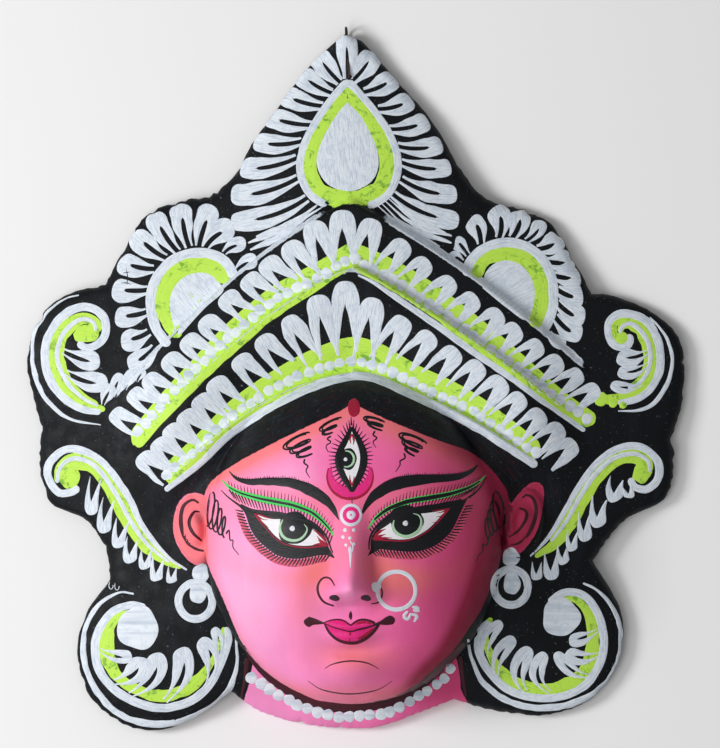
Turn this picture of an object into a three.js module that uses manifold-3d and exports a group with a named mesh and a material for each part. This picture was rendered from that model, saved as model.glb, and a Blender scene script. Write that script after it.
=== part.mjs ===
// A moulded paper mask of a crowned goddess, lying on its rim, face up.
// Millimetres, +Z out of the face, +Y towards the crown's tip, the origin
// under the middle of the mask on the surface that it lies on.

import * as THREE from 'three';
import * as BufferGeometryUtils from 'three/addons/utils/BufferGeometryUtils.js';
import Module from 'manifold-3d';

// Driving dimensions
const maskWidth = 297;
const wall = 4.6;
const edgeThickness = 4.4;
const edgeRoundHeight = 3.6;
const edgeRoundWidth = 7;
const crownDomeHeight = 20;
const upperBandStep = 5.2;
const lowerBandStep = 5.2;
const hairStep = 4.5;
const headHeight = 41;
const noseHeight = 15;
const earHeight = 7.5;
const hangHoleDiameter = 2.8;
const wireDiameter = 1;
const wireClearance = 0.35;
const wireTailLength = 9;

// The free form is written for a mask 297 mm wide, and follows the width
const share = maskWidth / 297;
const at = (x, y) => new THREE.Vector2(x * share, y * share);
const raised = (p, z) => new THREE.Vector3(p.x, p.y, z);
const wireRadius = wireDiameter / 2;

// Outline: from one notch to the next, the points of each lobe
const lobes = [
  [[54, 86.9], [45.5, 99.5], [34.5, 118], [18, 136.8], [4.5, 152.4]],
  [[-3.6, 157.1], [-20.3, 142.2], [-33.8, 124.7], [-46.5, 107], [-54.5, 92.5]],
  [[-65.7, 83.7], [-81, 81.6], [-94.5, 75], [-103.5, 61.6], [-109.5, 50]],
  [[-112.5, 44.1], [-130, 39.8], [-143, 28.6], [-148.4, 10], [-145.5, -6.5]],
  [[-141.8, -20], [-142.6, -39.6], [-137.3, -55.2], [-121.5, -62.1], [-112.2, -75.5]],
  [[-110.3, -89.1], [-121.8, -104.9], [-125.4, -122], [-120.5, -140.5], [-106, -153.8],
    [-88, -157], [-70.5, -150.3]],
  [[-55.4, -139.1], [-42, -148.5], [-19, -154.6], [7, -155.6], [27, -149.6]],
  [[45, -142.4], [60.8, -147.2], [84, -149.7], [106, -142.4], [119.3, -124], [119.7, -102.6]],
  [[107.1, -80.1], [121.5, -62.1], [139.5, -52.2], [144, -36]],
  [[142.6, -25.2], [147.8, -6], [146.6, 18], [134, 31.4], [116, 38.8]],
  [[106.7, 39.6], [99.9, 52.7], [90.5, 69.2], [78, 77], [62, 81.2]],
];
const hub = at(0, -39.6);
const outline = lobes.flatMap((lobe, i) => {
  const points = [...lobe, lobes[(i + 1) % lobes.length][0]];
  const curve = new THREE.SplineCurve(points.map(([x, y]) => at(x, y)));
  return curve.getPoints(20).slice(0, -1);
});
const polar = outline
  .map((p) => ({ angle: Math.atan2(p.y - hub.y, p.x - hub.x), radius: p.distanceTo(hub) }))
  .sort((a, b) => a.angle - b.angle);

function outlineRadius(angle) {
  const a = Math.atan2(Math.sin(angle), Math.cos(angle));
  let i = polar.findIndex((p) => p.angle > a);
  if (i < 0) i = 0;
  const next = polar[i];
  const last = polar[(i + polar.length - 1) % polar.length];
  const span = (next.angle - last.angle + 2 * Math.PI) % (2 * Math.PI);
  const part = ((a - last.angle + 2 * Math.PI) % (2 * Math.PI)) / span;
  return THREE.MathUtils.lerp(last.radius, next.radius, part);
}

// The outline with its notches smoothed away, which the crown's dome follows
const smoothing = THREE.MathUtils.degToRad(9);
const steadyDirections = 180;
const steadyRadii = Array.from({ length: steadyDirections }, (_, k) => {
  let sum = 0;
  let weights = 0;
  for (let j = -12; j <= 12; j += 1) {
    const turn = (j / 5) * smoothing;
    const weight = Math.exp(-0.5 * (j / 5) ** 2);
    sum += weight * outlineRadius((2 * Math.PI * k) / steadyDirections + turn);
    weights += weight;
  }
  return sum / weights;
});
function steadyRadius(angle) {
  const turn = ((angle / (2 * Math.PI)) % 1 + 1) % 1 * steadyRadii.length;
  const k = Math.floor(turn);
  const next = steadyRadii[(k + 1) % steadyRadii.length];
  return THREE.MathUtils.lerp(steadyRadii[k % steadyRadii.length], next, turn - k);
}

// The crown's ground: a low dome with a rounded edge
function crownGround(x, y) {
  const angle = Math.atan2(y - hub.y, x - hub.x);
  const reach = Math.hypot(x - hub.x, y - hub.y);
  const fromEdge = Math.max(0, outlineRadius(angle) - reach);
  const round = Math.min(1, fromEdge / edgeRoundWidth);
  const dome = Math.max(0, 1 - (reach / steadyRadius(angle)) ** 2);
  return edgeThickness + edgeRoundHeight * Math.sqrt(round * (2 - round)) + crownDomeHeight * dome;
}

// A crown band's upper edge: two arms that fall away from a rounded peak,
// as drop = slope * run + bend * run * run. The band stands up behind a steep
// wall there, dies away towards its two ends and sinks into the ground below.
const upperBand = {
  peak: at(-1.5, 79), left: [0.55, 0.003], right: [0.54, 0.0018],
  reach: 112 * share, depth: 62 * share, step: upperBandStep,
};
const lowerBand = {
  peak: at(1, 50), left: [0.5, 0.0035], right: [0.58, 0.0012],
  reach: 103 * share, depth: 50 * share, step: lowerBandStep,
};
const hair = {
  peak: at(0.5, 3.5), left: [0.17, 0.0056], right: [0.28, 0.0029],
  reach: 88 * share, depth: 46 * share, step: hairStep,
};
const steps = [upperBand, lowerBand, hair];
const peakRounding = 4 * share;
const wallRun = { left: 1.2 * share, right: 2.8 * share };
function bandEdge(band, x) {
  const [slope, bend] = x < band.peak.x ? band.left : band.right;
  const run = Math.hypot(x - band.peak.x, peakRounding) - peakRounding;
  return band.peak.y - slope * run - (bend / share) * run * run;
}
function bandRise(band, x, below) {
  const out = Math.abs(x - band.peak.x) / band.reach;
  const ends = 1 - THREE.MathUtils.smoothstep(out, 0.7, 1);
  return band.step * ends * (1 - THREE.MathUtils.smoothstep(below / band.depth, 0.55, 1));
}
function crownSurface(x, y) {
  return steps.reduce((z, band) => {
    const below = bandEdge(band, x) - y;
    const run = x < band.peak.x ? wallRun.left : wallRun.right;
    return z + bandRise(band, x, Math.max(0, below)) * THREE.MathUtils.smoothstep(below, -run, 0);
  }, crownGround(x, y));
}

// The head: half an ellipsoid that carries the hair and the face
const head = { centre: at(1, -70.4), radius: at(66, 73), base: 25 * share };
const features = {
  midline: 2 * share, nose: -90.8 * share, browTop: -57 * share, mouth: -109.6 * share,
  eyes: -63.5 * share, eyeSpread: 25 * share, chin: -128 * share,
};
function bump(u, v, width, length) {
  return Math.exp(-((u / (width * share)) ** 2) - (v / (length * share)) ** 2);
}
function noseRise(u, y, inset) {
  const down = (features.browTop - y) / (features.browTop - features.nose);
  const ridge = THREE.MathUtils.smoothstep(down, -0.35, 1.1) * 0.7
    * (1 - THREE.MathUtils.smoothstep(down, 0.98, 1.24));
  const halfWidth = THREE.MathUtils.lerp(8, 11, THREE.MathUtils.clamp(down, 0, 1)) * share - inset;
  if (halfWidth <= 0 || Math.abs(u) > halfWidth) return 0;
  const profile = Math.cos((Math.PI * u) / 2 / halfWidth) ** 1.6;
  const tipBump = 0.3 * bump(u, y - features.nose - 0.5 * share, 6.5, 5.6);
  return Math.max(0, noseHeight * (ridge * profile + tipBump) - inset);
}
function faceRise(x, y) {
  const u = x - features.midline;
  const side = Math.abs(u);
  const wings = 5.5 * bump(side - 8.2 * share, y - features.nose + 1.5 * share, 4, 4.6);
  const mouth = features.mouth + (0.012 / share) * u * u;
  const upperLip = 2.8 * bump(u, y - mouth - 2.2 * share, 12, 2.4);
  const lowerLip = 3.2 * bump(u, y - mouth + 2.6 * share, 10, 2.8);
  const chin = 4.6 * bump(u, y - features.chin, 15, 8);
  const underLip = 1.8 * bump(u, y - mouth + 9 * share, 13, 3.2);
  const cheeks = 2.4 * bump(side - 30 * share, y + 94 * share, 17, 15);
  const sockets = 2.4 * bump(side - features.eyeSpread, y - features.eyes, 19, 8.5);
  const eyeballs = 2.2 * bump(side - features.eyeSpread, y - features.eyes, 11, 5.5);
  return share * (wings + upperLip + lowerLip + chin - underLip + cheeks - sockets + eyeballs);
}
function headSurface(x, y) {
  const across = (x - head.centre.x) / head.radius.x;
  const along = (y - head.centre.y) / head.radius.y;
  const round = Math.sqrt(Math.max(0, 1 - across ** 2 - along ** 2));
  const relief = (faceRise(x, y) + noseRise(x - features.midline, y, 0)) * Math.min(1, round * 3);
  return round > 0 ? head.base + headHeight * round + relief : 0;
}
function frontSurface(x, y) {
  const blend = 5 * share;
  const low = crownSurface(x, y);
  const high = headSurface(x, y);
  const part = THREE.MathUtils.clamp(0.5 + (0.5 * (high - low)) / blend, 0, 1);
  return THREE.MathUtils.lerp(low, high, part) + blend * part * (1 - part);
}

// A closed solid from nested rings of points that start and end in one point
function ringSolid(rings, firstPole, lastPole) {
  const count = rings[0].length;
  const positions = [firstPole, ...rings.flat(), lastPole].flatMap((p) => [p.x, p.y, p.z]);
  const last = positions.length / 3 - 1;
  const index = [];
  for (let i = 0; i < count; i += 1) {
    const next = (i + 1) % count;
    index.push(0, 1 + next, 1 + i);
    for (let r = 0; r + 1 < rings.length; r += 1) {
      const low = 1 + r * count;
      const high = low + count;
      index.push(low + i, low + next, high + next, low + i, high + next, high + i);
    }
    const top = 1 + (rings.length - 1) * count;
    index.push(last, top + i, top + next);
  }
  return indexedGeometry(positions, index);
}

// A closed solid under a grid of points, as deep as given but clear of the rim's underside
function gridSolid(rows, depth) {
  const columns = rows[0].length;
  const top = rows.flat();
  const size = top.length;
  const under = top.map((p) => raised(p, Math.max(edgeThickness / 2, p.z - depth)));
  const positions = [...top, ...under].flatMap((p) => [p.x, p.y, p.z]);
  const index = [];
  const quad = (a, b, c, d) => index.push(a, b, c, a, c, d);
  for (let r = 0; r + 1 < rows.length; r += 1) {
    for (let c = 0; c + 1 < columns; c += 1) {
      const a = r * columns + c;
      quad(a, a + 1, a + 1 + columns, a + columns);
      quad(size + a, size + a + columns, size + a + 1 + columns, size + a + 1);
    }
  }
  const border = [];
  for (let c = 0; c + 1 < columns; c += 1) border.push(c);
  for (let r = 0; r + 1 < rows.length; r += 1) border.push(r * columns + columns - 1);
  for (let c = columns - 1; c > 0; c -= 1) border.push((rows.length - 1) * columns + c);
  for (let r = rows.length - 1; r > 0; r -= 1) border.push(r * columns);
  border.forEach((a, i) => {
    const b = border[(i + 1) % border.length];
    quad(a, size + a, size + b, b);
  });
  return indexedGeometry(positions, index);
}

function indexedGeometry(positions, index) {
  const geometry = new THREE.BufferGeometry();
  geometry.setAttribute('position', new THREE.Float32BufferAttribute(positions, 3));
  geometry.setIndex(index);
  return geometry;
}

// Solids that join and cut
const wasm = await Module();
wasm.setup();
function toManifold(geometry) {
  const bare = geometry.clone();
  bare.deleteAttribute('normal');
  bare.deleteAttribute('uv');
  const merged = BufferGeometryUtils.mergeVertices(bare);
  return new wasm.Manifold(new wasm.Mesh({
    numProp: 3,
    vertProperties: new Float32Array(merged.attributes.position.array),
    triVerts: new Uint32Array(merged.index.array),
  }));
}
function toGeometry(solid) {
  const mesh = solid.getMesh();
  const geometry = new THREE.BufferGeometry();
  geometry.setAttribute('position', new THREE.BufferAttribute(mesh.vertProperties, 3));
  geometry.setIndex(new THREE.BufferAttribute(mesh.triVerts, 1));
  return geometry;
}

// Lattice directions round the hub, each notch on a line of its own
function hubAngles(count) {
  const angles = Array.from({ length: count }, (_, i) => (2 * Math.PI * i) / count);
  lobes.forEach(([[x, y]]) => {
    const notch = Math.atan2(y * share - hub.y, x * share - hub.x);
    const turn = (notch + 2 * Math.PI) % (2 * Math.PI);
    angles[Math.round((turn / (2 * Math.PI)) * count) % count] = turn;
  });
  return angles;
}
function fromHub(angle, radius) {
  return new THREE.Vector2(hub.x + radius * Math.cos(angle), hub.y + radius * Math.sin(angle));
}

// The rim lies flat, and lifts under the crown's tip to let the wire pass
const tipLift = wireDiameter + 3 * wireClearance + 1;
const tip = at(...lobes[1][0]);
const hangHole = at(-1.9, 136.7);
function rimLift(p) {
  const near = Math.hypot(p.x - tip.x, (p.y - tip.y) / 1.6);
  return tipLift * (1 - THREE.MathUtils.smoothstep(near, 3 * share, 13 * share));
}

function crownSolid() {
  const angles = hubAngles(108);
  const inward = [0.06, 0.3, 0.75, 1.4].map((part) => part * edgeRoundWidth);
  const shares = [0.88, 0.76, 0.62, 0.46];
  const rings = [
    angles.map((a) => fromHub(a, outlineRadius(a))).map((p) => raised(p, rimLift(p))),
    angles.map((a) => fromHub(a, outlineRadius(a))).map((p) => raised(p, edgeThickness + rimLift(p))),
    ...inward.map((depth) => angles.map((a) => fromHub(a, outlineRadius(a) - depth))
      .map((p) => raised(p, crownGround(p.x, p.y)))),
    ...shares.map((part) => angles.map((a) => fromHub(a, outlineRadius(a) * part))
      .map((p) => raised(p, crownGround(p.x, p.y)))),
  ];
  return ringSolid(rings, raised(hub, 0), raised(hub, crownGround(hub.x, hub.y)));
}

// One band: its wall starts under the ground, so that the two cross cleanly
function bandSolid(band, ground) {
  const columns = 32;
  const sunk = 0.6 * share;
  const stations = [-1, 0, 0.3, 0.6, 1];
  const rows = stations.map((station) => Array.from({ length: columns + 1 }, (_, c) => {
    const x = band.peak.x + ((2 * c) / columns - 1) * band.reach;
    const run = x < band.peak.x ? wallRun.left : wallRun.right;
    const below = station < 0 ? -2 * run : station * band.depth;
    const y = bandEdge(band, x) - below;
    const rise = station < 0 ? -bandRise(band, x, 0) : bandRise(band, x, below);
    return new THREE.Vector3(x, y, ground(x, y) + rise - sunk);
  }));
  return toManifold(gridSolid(rows.reverse(), wall + 2 * band.step));
}

function bandsSolid() {
  const onUpper = (x, y) => crownGround(x, y) + bandRise(upperBand, x, bandEdge(upperBand, x) - y);
  const onLower = (x, y) => onUpper(x, y) + bandRise(lowerBand, x, bandEdge(lowerBand, x) - y);
  return bandSolid(upperBand, crownGround)
    .add(bandSolid(lowerBand, onUpper))
    .add(bandSolid(hair, onLower));
}

// Rings round the nose, out to the foot of the head, over a straight skirt
function headRings(count, parts, radius, surface) {
  const centre = new THREE.Vector2(features.midline, features.nose + 6 * share);
  const rings = parts.map((part) => Array.from({ length: count }, (_, i) => {
    const angle = (2 * Math.PI * i) / count;
    const footX = head.centre.x + radius.x * Math.cos(angle);
    const footY = head.centre.y + radius.y * Math.sin(angle);
    const x = centre.x + (footX - centre.x) * part;
    const y = centre.y + (footY - centre.y) * part;
    return new THREE.Vector3(x, y, surface(x, y));
  }));
  rings.unshift(rings[0].map((p) => raised(p, edgeThickness)));
  return ringSolid(rings, raised(centre, edgeThickness), raised(centre, surface(centre.x, centre.y)));
}
const quarterWave = (levels) => Array.from({ length: levels }, (_, level) => (
  Math.sin((Math.PI / 2) * (1 - level / levels))));

function headSolid() {
  const sunk = 0.8 * share;
  const foot = 1.08;
  const parts = [foot, 1.03, ...quarterWave(17)];
  const outside = (x, y) => Math.hypot((x - head.centre.x) / head.radius.x,
    (y - head.centre.y) / head.radius.y) > (1 + foot) / 2;
  const surface = (x, y) => frontSurface(x, y) - (outside(x, y) ? sunk : 0);
  return headRings(64, parts, head.radius, surface);
}

function headHollow() {
  const radius = new THREE.Vector2(head.radius.x - wall, head.radius.y - wall);
  const surface = (x, y) => {
    const across = (x - head.centre.x) / radius.x;
    const along = (y - head.centre.y) / radius.y;
    const round = Math.sqrt(Math.max(0, 1 - across ** 2 - along ** 2));
    return head.base + (headHeight - wall) * round + noseRise(x - features.midline, y, wall);
  };
  return headRings(40, quarterWave(9), radius, surface);
}

// An ear: half an egg that stands out of the crown beside the head
function earSolid(place, size, lean) {
  const sunk = 2 * share;
  const ear = new THREE.SphereGeometry(1, 18, 12);
  ear.scale(size.x, size.y, earHeight + sunk);
  ear.rotateZ(lean);
  ear.translate(place.x, place.y, crownGround(place.x, place.y) - sunk);
  return ear;
}

// The hollow behind the crown, one wall inside the outline and below the front
function crownHollow() {
  const angles = hubAngles(84);
  const step = 0.02;
  const innerRadius = (a) => {
    const turn = (outlineRadius(a + step) - outlineRadius(a - step)) / (2 * step);
    return outlineRadius(a) - wall * Math.min(1.7, Math.hypot(1, turn / outlineRadius(a)));
  };
  const follow = (band, x, y) => {
    const below = bandEdge(band, x) - y;
    return bandRise(band, x, below) * THREE.MathUtils.smoothstep(below, 4 * share, 14 * share);
  };
  const ceiling = (p) => steps.reduce((z, band) => z + follow(band, p.x, p.y),
    crownGround(p.x, p.y) - wall);
  const shares = [1, 0.95, 0.86, 0.74, 0.6, 0.46, 0.3];
  const rings = [
    angles.map((a) => raised(fromHub(a, innerRadius(a)), -wall)),
    ...shares.map((part) => angles.map((a) => fromHub(a, innerRadius(a) * part))
      .map((p) => raised(p, ceiling(p)))),
  ];
  return ringSolid(rings, raised(hub, -wall), raised(hub, ceiling(hub)));
}

function maskShell() {
  const hole = new THREE.CylinderGeometry(hangHoleDiameter / 2, hangHoleDiameter / 2, 60 * share, 16);
  hole.rotateX(Math.PI / 2);
  hole.translate(hangHole.x, hangHole.y, 0);
  const solid = toManifold(crownSolid())
    .add(bandsSolid())
    .add(toManifold(headSolid()))
    .add(toManifold(earSolid(at(-70, -65.3), at(9.5, 17.5), 0.12)))
    .add(toManifold(earSolid(at(76.5, -62), at(10, 16.5), -0.12)))
    .subtract(toManifold(crownHollow()))
    .subtract(toManifold(headHollow()))
    .subtract(toManifold(hole));
  return toGeometry(solid);
}

// A wire through the hole, up over the front, round the tip, back under the rim
// and twisted round its own start behind the hole
function hangingWire() {
  const over = wireRadius + 2 * wireClearance;
  const front = (y) => {
    const x = THREE.MathUtils.lerp(hangHole.x, tip.x, (y - hangHole.y) / (tip.y - hangHole.y));
    return new THREE.Vector3(x, y, crownGround(x, Math.min(y, tip.y - 0.2 * share)) + over);
  };
  const tailHeight = wireRadius + 2.6;
  const tailTop = hangHole.y - 1.5;
  const turns = 1.5;
  const strand = (half) => Array.from({ length: 10 }, (_, i) => {
    const along = i / 9;
    const turn = 2 * Math.PI * turns * along + half;
    const spread = wireRadius + 0.25;
    return new THREE.Vector3(hangHole.x + spread * Math.cos(turn),
      tailTop - wireTailLength * along, tailHeight + spread * Math.sin(turn));
  });
  const top = front(hangHole.y).z;
  const points = [
    ...strand(0).reverse(),
    new THREE.Vector3(hangHole.x, hangHole.y, top - 3),
    new THREE.Vector3(hangHole.x, hangHole.y + 0.3, top - 0.2),
    front(hangHole.y + 2.5 * share),
    front(hangHole.y + 7 * share),
    front(hangHole.y + 12 * share),
    front(tip.y - 4 * share),
    new THREE.Vector3(tip.x, tip.y + over + 0.4, edgeThickness + rimLift(tip)),
    new THREE.Vector3(tip.x, tip.y + over, rimLift(tip) - 0.2),
    new THREE.Vector3(tip.x, tip.y - 2 * share, over),
    new THREE.Vector3(tip.x, tip.y - 8 * share, over),
    new THREE.Vector3(hangHole.x - 0.8, hangHole.y + 4 * share, 1.8),
    ...strand(Math.PI),
  ];
  const section = new THREE.Shape();
  section.absarc(0, 0, wireRadius, 0, 2 * Math.PI, false);
  const path = new THREE.CatmullRomCurve3(points);
  return new THREE.ExtrudeGeometry(section, {
    steps: 84, curveSegments: 3, extrudePath: path, bevelEnabled: false,
  });
}

const paper = new THREE.MeshStandardMaterial({ color: 0xf296be, roughness: 0.6, metalness: 0 });
const steel = new THREE.MeshStandardMaterial({ color: 0x3a2a24, roughness: 0.55, metalness: 0.6 });

const group = new THREE.Group();
const shell = new THREE.Mesh(maskShell(), paper);
shell.name = 'mask_shell';
const wire = new THREE.Mesh(hangingWire(), steel);
wire.name = 'hanging_wire';
group.add(shell, wire);
const middle = new THREE.Box3().setFromObject(group).getCenter(new THREE.Vector3());
group.position.set(-middle.x, -middle.y, 0);
export default group;
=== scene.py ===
import math

import bpy
import numpy as np
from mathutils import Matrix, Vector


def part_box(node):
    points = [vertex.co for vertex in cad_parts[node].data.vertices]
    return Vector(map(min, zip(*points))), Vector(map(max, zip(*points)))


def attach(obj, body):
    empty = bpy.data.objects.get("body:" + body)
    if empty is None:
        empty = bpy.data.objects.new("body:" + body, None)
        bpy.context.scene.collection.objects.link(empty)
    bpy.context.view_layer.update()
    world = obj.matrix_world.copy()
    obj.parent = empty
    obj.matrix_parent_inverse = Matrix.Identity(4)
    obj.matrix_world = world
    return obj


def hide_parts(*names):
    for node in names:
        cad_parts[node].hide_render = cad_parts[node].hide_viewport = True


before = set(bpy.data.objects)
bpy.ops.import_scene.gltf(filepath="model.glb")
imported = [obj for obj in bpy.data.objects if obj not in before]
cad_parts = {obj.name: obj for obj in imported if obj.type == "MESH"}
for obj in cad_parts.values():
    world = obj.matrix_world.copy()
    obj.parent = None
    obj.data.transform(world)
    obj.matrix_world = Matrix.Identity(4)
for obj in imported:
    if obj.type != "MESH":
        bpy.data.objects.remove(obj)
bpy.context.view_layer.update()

# The moulding: layered paper pressed over a clay form and smoothed with clay slip.
# Crown, bands, hair, head and ears are one moulding, hollow behind, and this
# section has its form, as heights over the plane that the rim lies on, in mm.

MM = 0.001
EDGE = 4.4
EDGE_ROUND_HEIGHT = 3.6
EDGE_ROUND_WIDTH = 7.0
CROWN_DOME = 20.0
WALL = 4.6
HUB = np.array([0.0, -39.6])
TIP = np.array([-3.6, 157.1])
RIM_LIFT = 3.05
HOLE = np.array([-1.9, 136.7])
LOBES = [
    [(54, 86.9), (45.5, 99.5), (34.5, 118), (18, 136.8), (4.5, 152.4)],
    [(-3.6, 157.1), (-20.3, 142.2), (-33.8, 124.7), (-46.5, 107), (-54.5, 92.5)],
    [(-65.7, 83.7), (-81, 81.6), (-94.5, 75), (-103.5, 61.6), (-109.5, 50)],
    [(-112.5, 44.1), (-130, 39.8), (-143, 28.6), (-148.4, 10), (-145.5, -6.5)],
    [(-141.8, -20), (-142.6, -39.6), (-137.3, -55.2), (-121.5, -62.1), (-112.2, -75.5)],
    [(-110.3, -89.1), (-121.8, -104.9), (-125.4, -122), (-120.5, -140.5), (-106, -153.8),
     (-88, -157), (-70.5, -150.3)],
    [(-55.4, -139.1), (-42, -148.5), (-19, -154.6), (7, -155.6), (27, -149.6)],
    [(45, -142.4), (60.8, -147.2), (84, -149.7), (106, -142.4), (119.3, -124), (119.7, -102.6)],
    [(107.1, -80.1), (121.5, -62.1), (139.5, -52.2), (144, -36)],
    [(142.6, -25.2), (147.8, -6), (146.6, 18), (134, 31.4), (116, 38.8)],
    [(106.7, 39.6), (99.9, 52.7), (90.5, 69.2), (78, 77), (62, 81.2)],
]


def spline(points, steps):
    """Catmull-Rom curve through the points, with its ends carried straight on."""
    p = np.array(points, float)
    p = np.vstack([2 * p[0] - p[1], p, 2 * p[-1] - p[-2]])
    t = np.linspace(0, 1, steps, endpoint=False)[:, None]
    pieces = []
    for a, b, c, d in zip(p[:-3], p[1:-2], p[2:-1], p[3:]):
        cubic = (3 * b - a - 3 * c + d) * t ** 3
        pieces.append(0.5 * (2 * b + (c - a) * t + (2 * a - 5 * b + 4 * c - d) * t ** 2 + cubic))
    return np.vstack(pieces + [p[-2:-1]])


outline = np.vstack([
    spline(lobe + [LOBES[(i + 1) % len(LOBES)][0]], 20)[:-1] for i, lobe in enumerate(LOBES)])
outline_angle = np.arctan2(*(outline - HUB).T[::-1])
order = np.argsort(outline_angle)
outline_angle = outline_angle[order]
outline_reach = np.hypot(*(outline - HUB).T)[order]


def outline_radius(angle):
    """Distance from the hub to the outline in a direction."""
    return np.interp(angle, outline_angle, outline_reach, period=2 * math.pi)


steady_angle = np.radians(np.arange(0, 360, 2))
taps = np.arange(-12, 13) / 5
steady_reach = np.average(
    [outline_radius(steady_angle + tap * math.radians(9)) for tap in taps],
    axis=0, weights=np.exp(-0.5 * taps ** 2))


def smooth_step(t, start, end):
    """Nought before start, one after end, a cubic ease between."""
    t = np.clip((t - start) / (end - start), 0, 1)
    return t * t * (3 - 2 * t)


def ground(x, y):
    """The crown's low dome, with a quarter-round along its cut edge."""
    angle = np.arctan2(y - HUB[1], x - HUB[0])
    reach = np.hypot(x - HUB[0], y - HUB[1])
    round_in = np.clip((outline_radius(angle) - reach) / EDGE_ROUND_WIDTH, 0, 1)
    steady = np.interp(angle, steady_angle, steady_reach, period=2 * math.pi)
    dome = np.maximum(0, 1 - (reach / steady) ** 2)
    return EDGE + EDGE_ROUND_HEIGHT * np.sqrt(round_in * (2 - round_in)) + CROWN_DOME * dome


UPPER = dict(peak=(-1.5, 79), left=(0.55, 0.003), right=(0.54, 0.0018), reach=112, depth=62, step=5.2)
LOWER = dict(peak=(1, 50), left=(0.5, 0.0035), right=(0.58, 0.0012), reach=103, depth=50, step=5.2)
HAIR = dict(peak=(0.5, 3.5), left=(0.17, 0.0056), right=(0.28, 0.0029), reach=88, depth=46, step=4.5)
PEAK_ROUNDING = 4.0
WALL_RUN = (1.2, 2.8)


def band_edge(band, x):
    """Height of a band's upper edge on the front: two parabolic arms from a rounded peak."""
    left = x < band["peak"][0]
    slope = np.where(left, band["left"][0], band["right"][0])
    bend = np.where(left, band["left"][1], band["right"][1])
    run = np.hypot(x - band["peak"][0], PEAK_ROUNDING) - PEAK_ROUNDING
    return band["peak"][1] - slope * run - bend * run * run


def band_ends(band, x):
    """One along a band, dying away to nought at its two ends."""
    return 1 - smooth_step(np.abs(x - band["peak"][0]) / band["reach"], 0.7, 1)


def crown(x, y):
    """The ground with the bands and the hair stepped up behind their walls."""
    z = ground(x, y)
    for band in (UPPER, LOWER, HAIR):
        below = band_edge(band, x) - y
        run = np.where(x < band["peak"][0], *WALL_RUN)
        sink = 1 - smooth_step(np.maximum(below, 0) / band["depth"], 0.55, 1)
        z = z + band["step"] * band_ends(band, x) * sink * smooth_step(below, -run, 0)
    return z


HEAD_CENTRE = np.array([1.0, -70.4])
HEAD_RADIUS = np.array([66.0, 73.0])
HEAD_BASE = 25.0
HEAD_HEIGHT = 41.0
NOSE_HEIGHT = 15.0
NOSE_LEAN = 1.3
MIDLINE, BROW_TOP, NOSE_Y, MOUTH_Y, EYE_Y, CHIN_Y = 2.0, -57.0, -90.8, -109.6, -63.5, -128.0


def bump(u, v, width, length):
    """A round hill one high."""
    return np.exp(-(u / width) ** 2 - (v / length) ** 2)


def nose(u, y):
    """A ridge that widens and rises from the brow, with a round tip and two wings."""
    u = u - NOSE_LEAN
    down = (BROW_TOP - y) / (BROW_TOP - NOSE_Y)
    ridge = 0.7 * smooth_step(down, -0.35, 1.1) * (1 - smooth_step(down, 0.98, 1.24))
    half_width = 8 + 3 * np.clip(down, 0, 1)
    profile = np.cos(math.pi / 2 * np.clip(u / half_width, -1, 1)) ** 1.6
    tip = 0.3 * bump(u, y - NOSE_Y - 0.5, 6.5, 5.6)
    wings = 5.5 * bump(np.abs(u) - 8.2, y - NOSE_Y + 1.5, 4.0, 4.6)
    return NOSE_HEIGHT * (ridge * profile + tip) + wings


def face_relief(x, y):
    """Lips, chin, cheeks and eyes as round hills and hollows, with the nose."""
    u = x - MIDLINE
    side = np.abs(u)
    mouth = MOUTH_Y + 0.012 * u * u
    lips = 2.8 * bump(u, y - mouth - 2.2, 12, 2.4) + 3.2 * bump(u, y - mouth + 2.6, 10, 2.8)
    chin = 4.6 * bump(u, y - CHIN_Y, 15, 8) - 1.8 * bump(u, y - mouth + 9, 13, 3.2)
    cheeks = 2.4 * bump(side - 30, y + 94, 17, 15)
    eyes = 2.2 * bump(side - 25, y - EYE_Y, 11, 5.5) - 2.4 * bump(side - 25, y - EYE_Y, 19, 8.5)
    return lips + chin + cheeks + eyes + nose(u, y)


def head_share(x, y):
    """Nought in the middle of the head, one at its foot."""
    return np.hypot((x - HEAD_CENTRE[0]) / HEAD_RADIUS[0], (y - HEAD_CENTRE[1]) / HEAD_RADIUS[1])


def soft_max(a, b, blend):
    """The higher of two surfaces, with a fillet where they meet."""
    part = np.clip(0.5 + 0.5 * (a - b) / blend, 0, 1)
    return b + (a - b) * part + blend * part * (1 - part)


def head(x, y):
    """Half an ellipsoid with the face's relief, blended into the crown at its foot."""
    share = head_share(x, y)
    round_up = np.sqrt(np.maximum(0, 1 - share ** 2))
    dome = HEAD_BASE + HEAD_HEIGHT * round_up + face_relief(x, y) * np.minimum(1, round_up * 3)
    return soft_max(crown(x, y), np.where(share < 1, dome, 0), 5)


EARS = [(-70, -65.3, 9.5, 17.5, 0.12), (76.5, -62, 10, 16.5, -0.12)]
EAR_RISE = 9.5


def ear_place(ear, x, y):
    """A point's place in an ear's own frame, with the ear's foot at one from its middle."""
    centre_x, centre_y, half_width, half_length, lean = ear
    u = (x - centre_x) * math.cos(lean) + (y - centre_y) * math.sin(lean)
    v = (y - centre_y) * math.cos(lean) - (x - centre_x) * math.sin(lean)
    return u / half_width, v / half_length


def ear_height(ear, x, y):
    """Half an egg, hollowed a little inside its rim."""
    u, v = ear_place(ear, x, y)
    share = np.hypot(u, v)
    egg = EAR_RISE * np.sqrt(np.maximum(0, 1 - share ** 2))
    return ground(x, y) - 2 + egg - 2.2 * np.exp(-((share - 0.5) / 0.2) ** 2)


def front(x, y):
    """The whole front: crown, head and ears."""
    z = head(x, y)
    for ear in EARS:
        u, v = ear_place(ear, x, y)
        inside = u * u + v * v < 1
        z = np.where(inside, np.maximum(z, ear_height(ear, x, y)), z)
    return z


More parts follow.
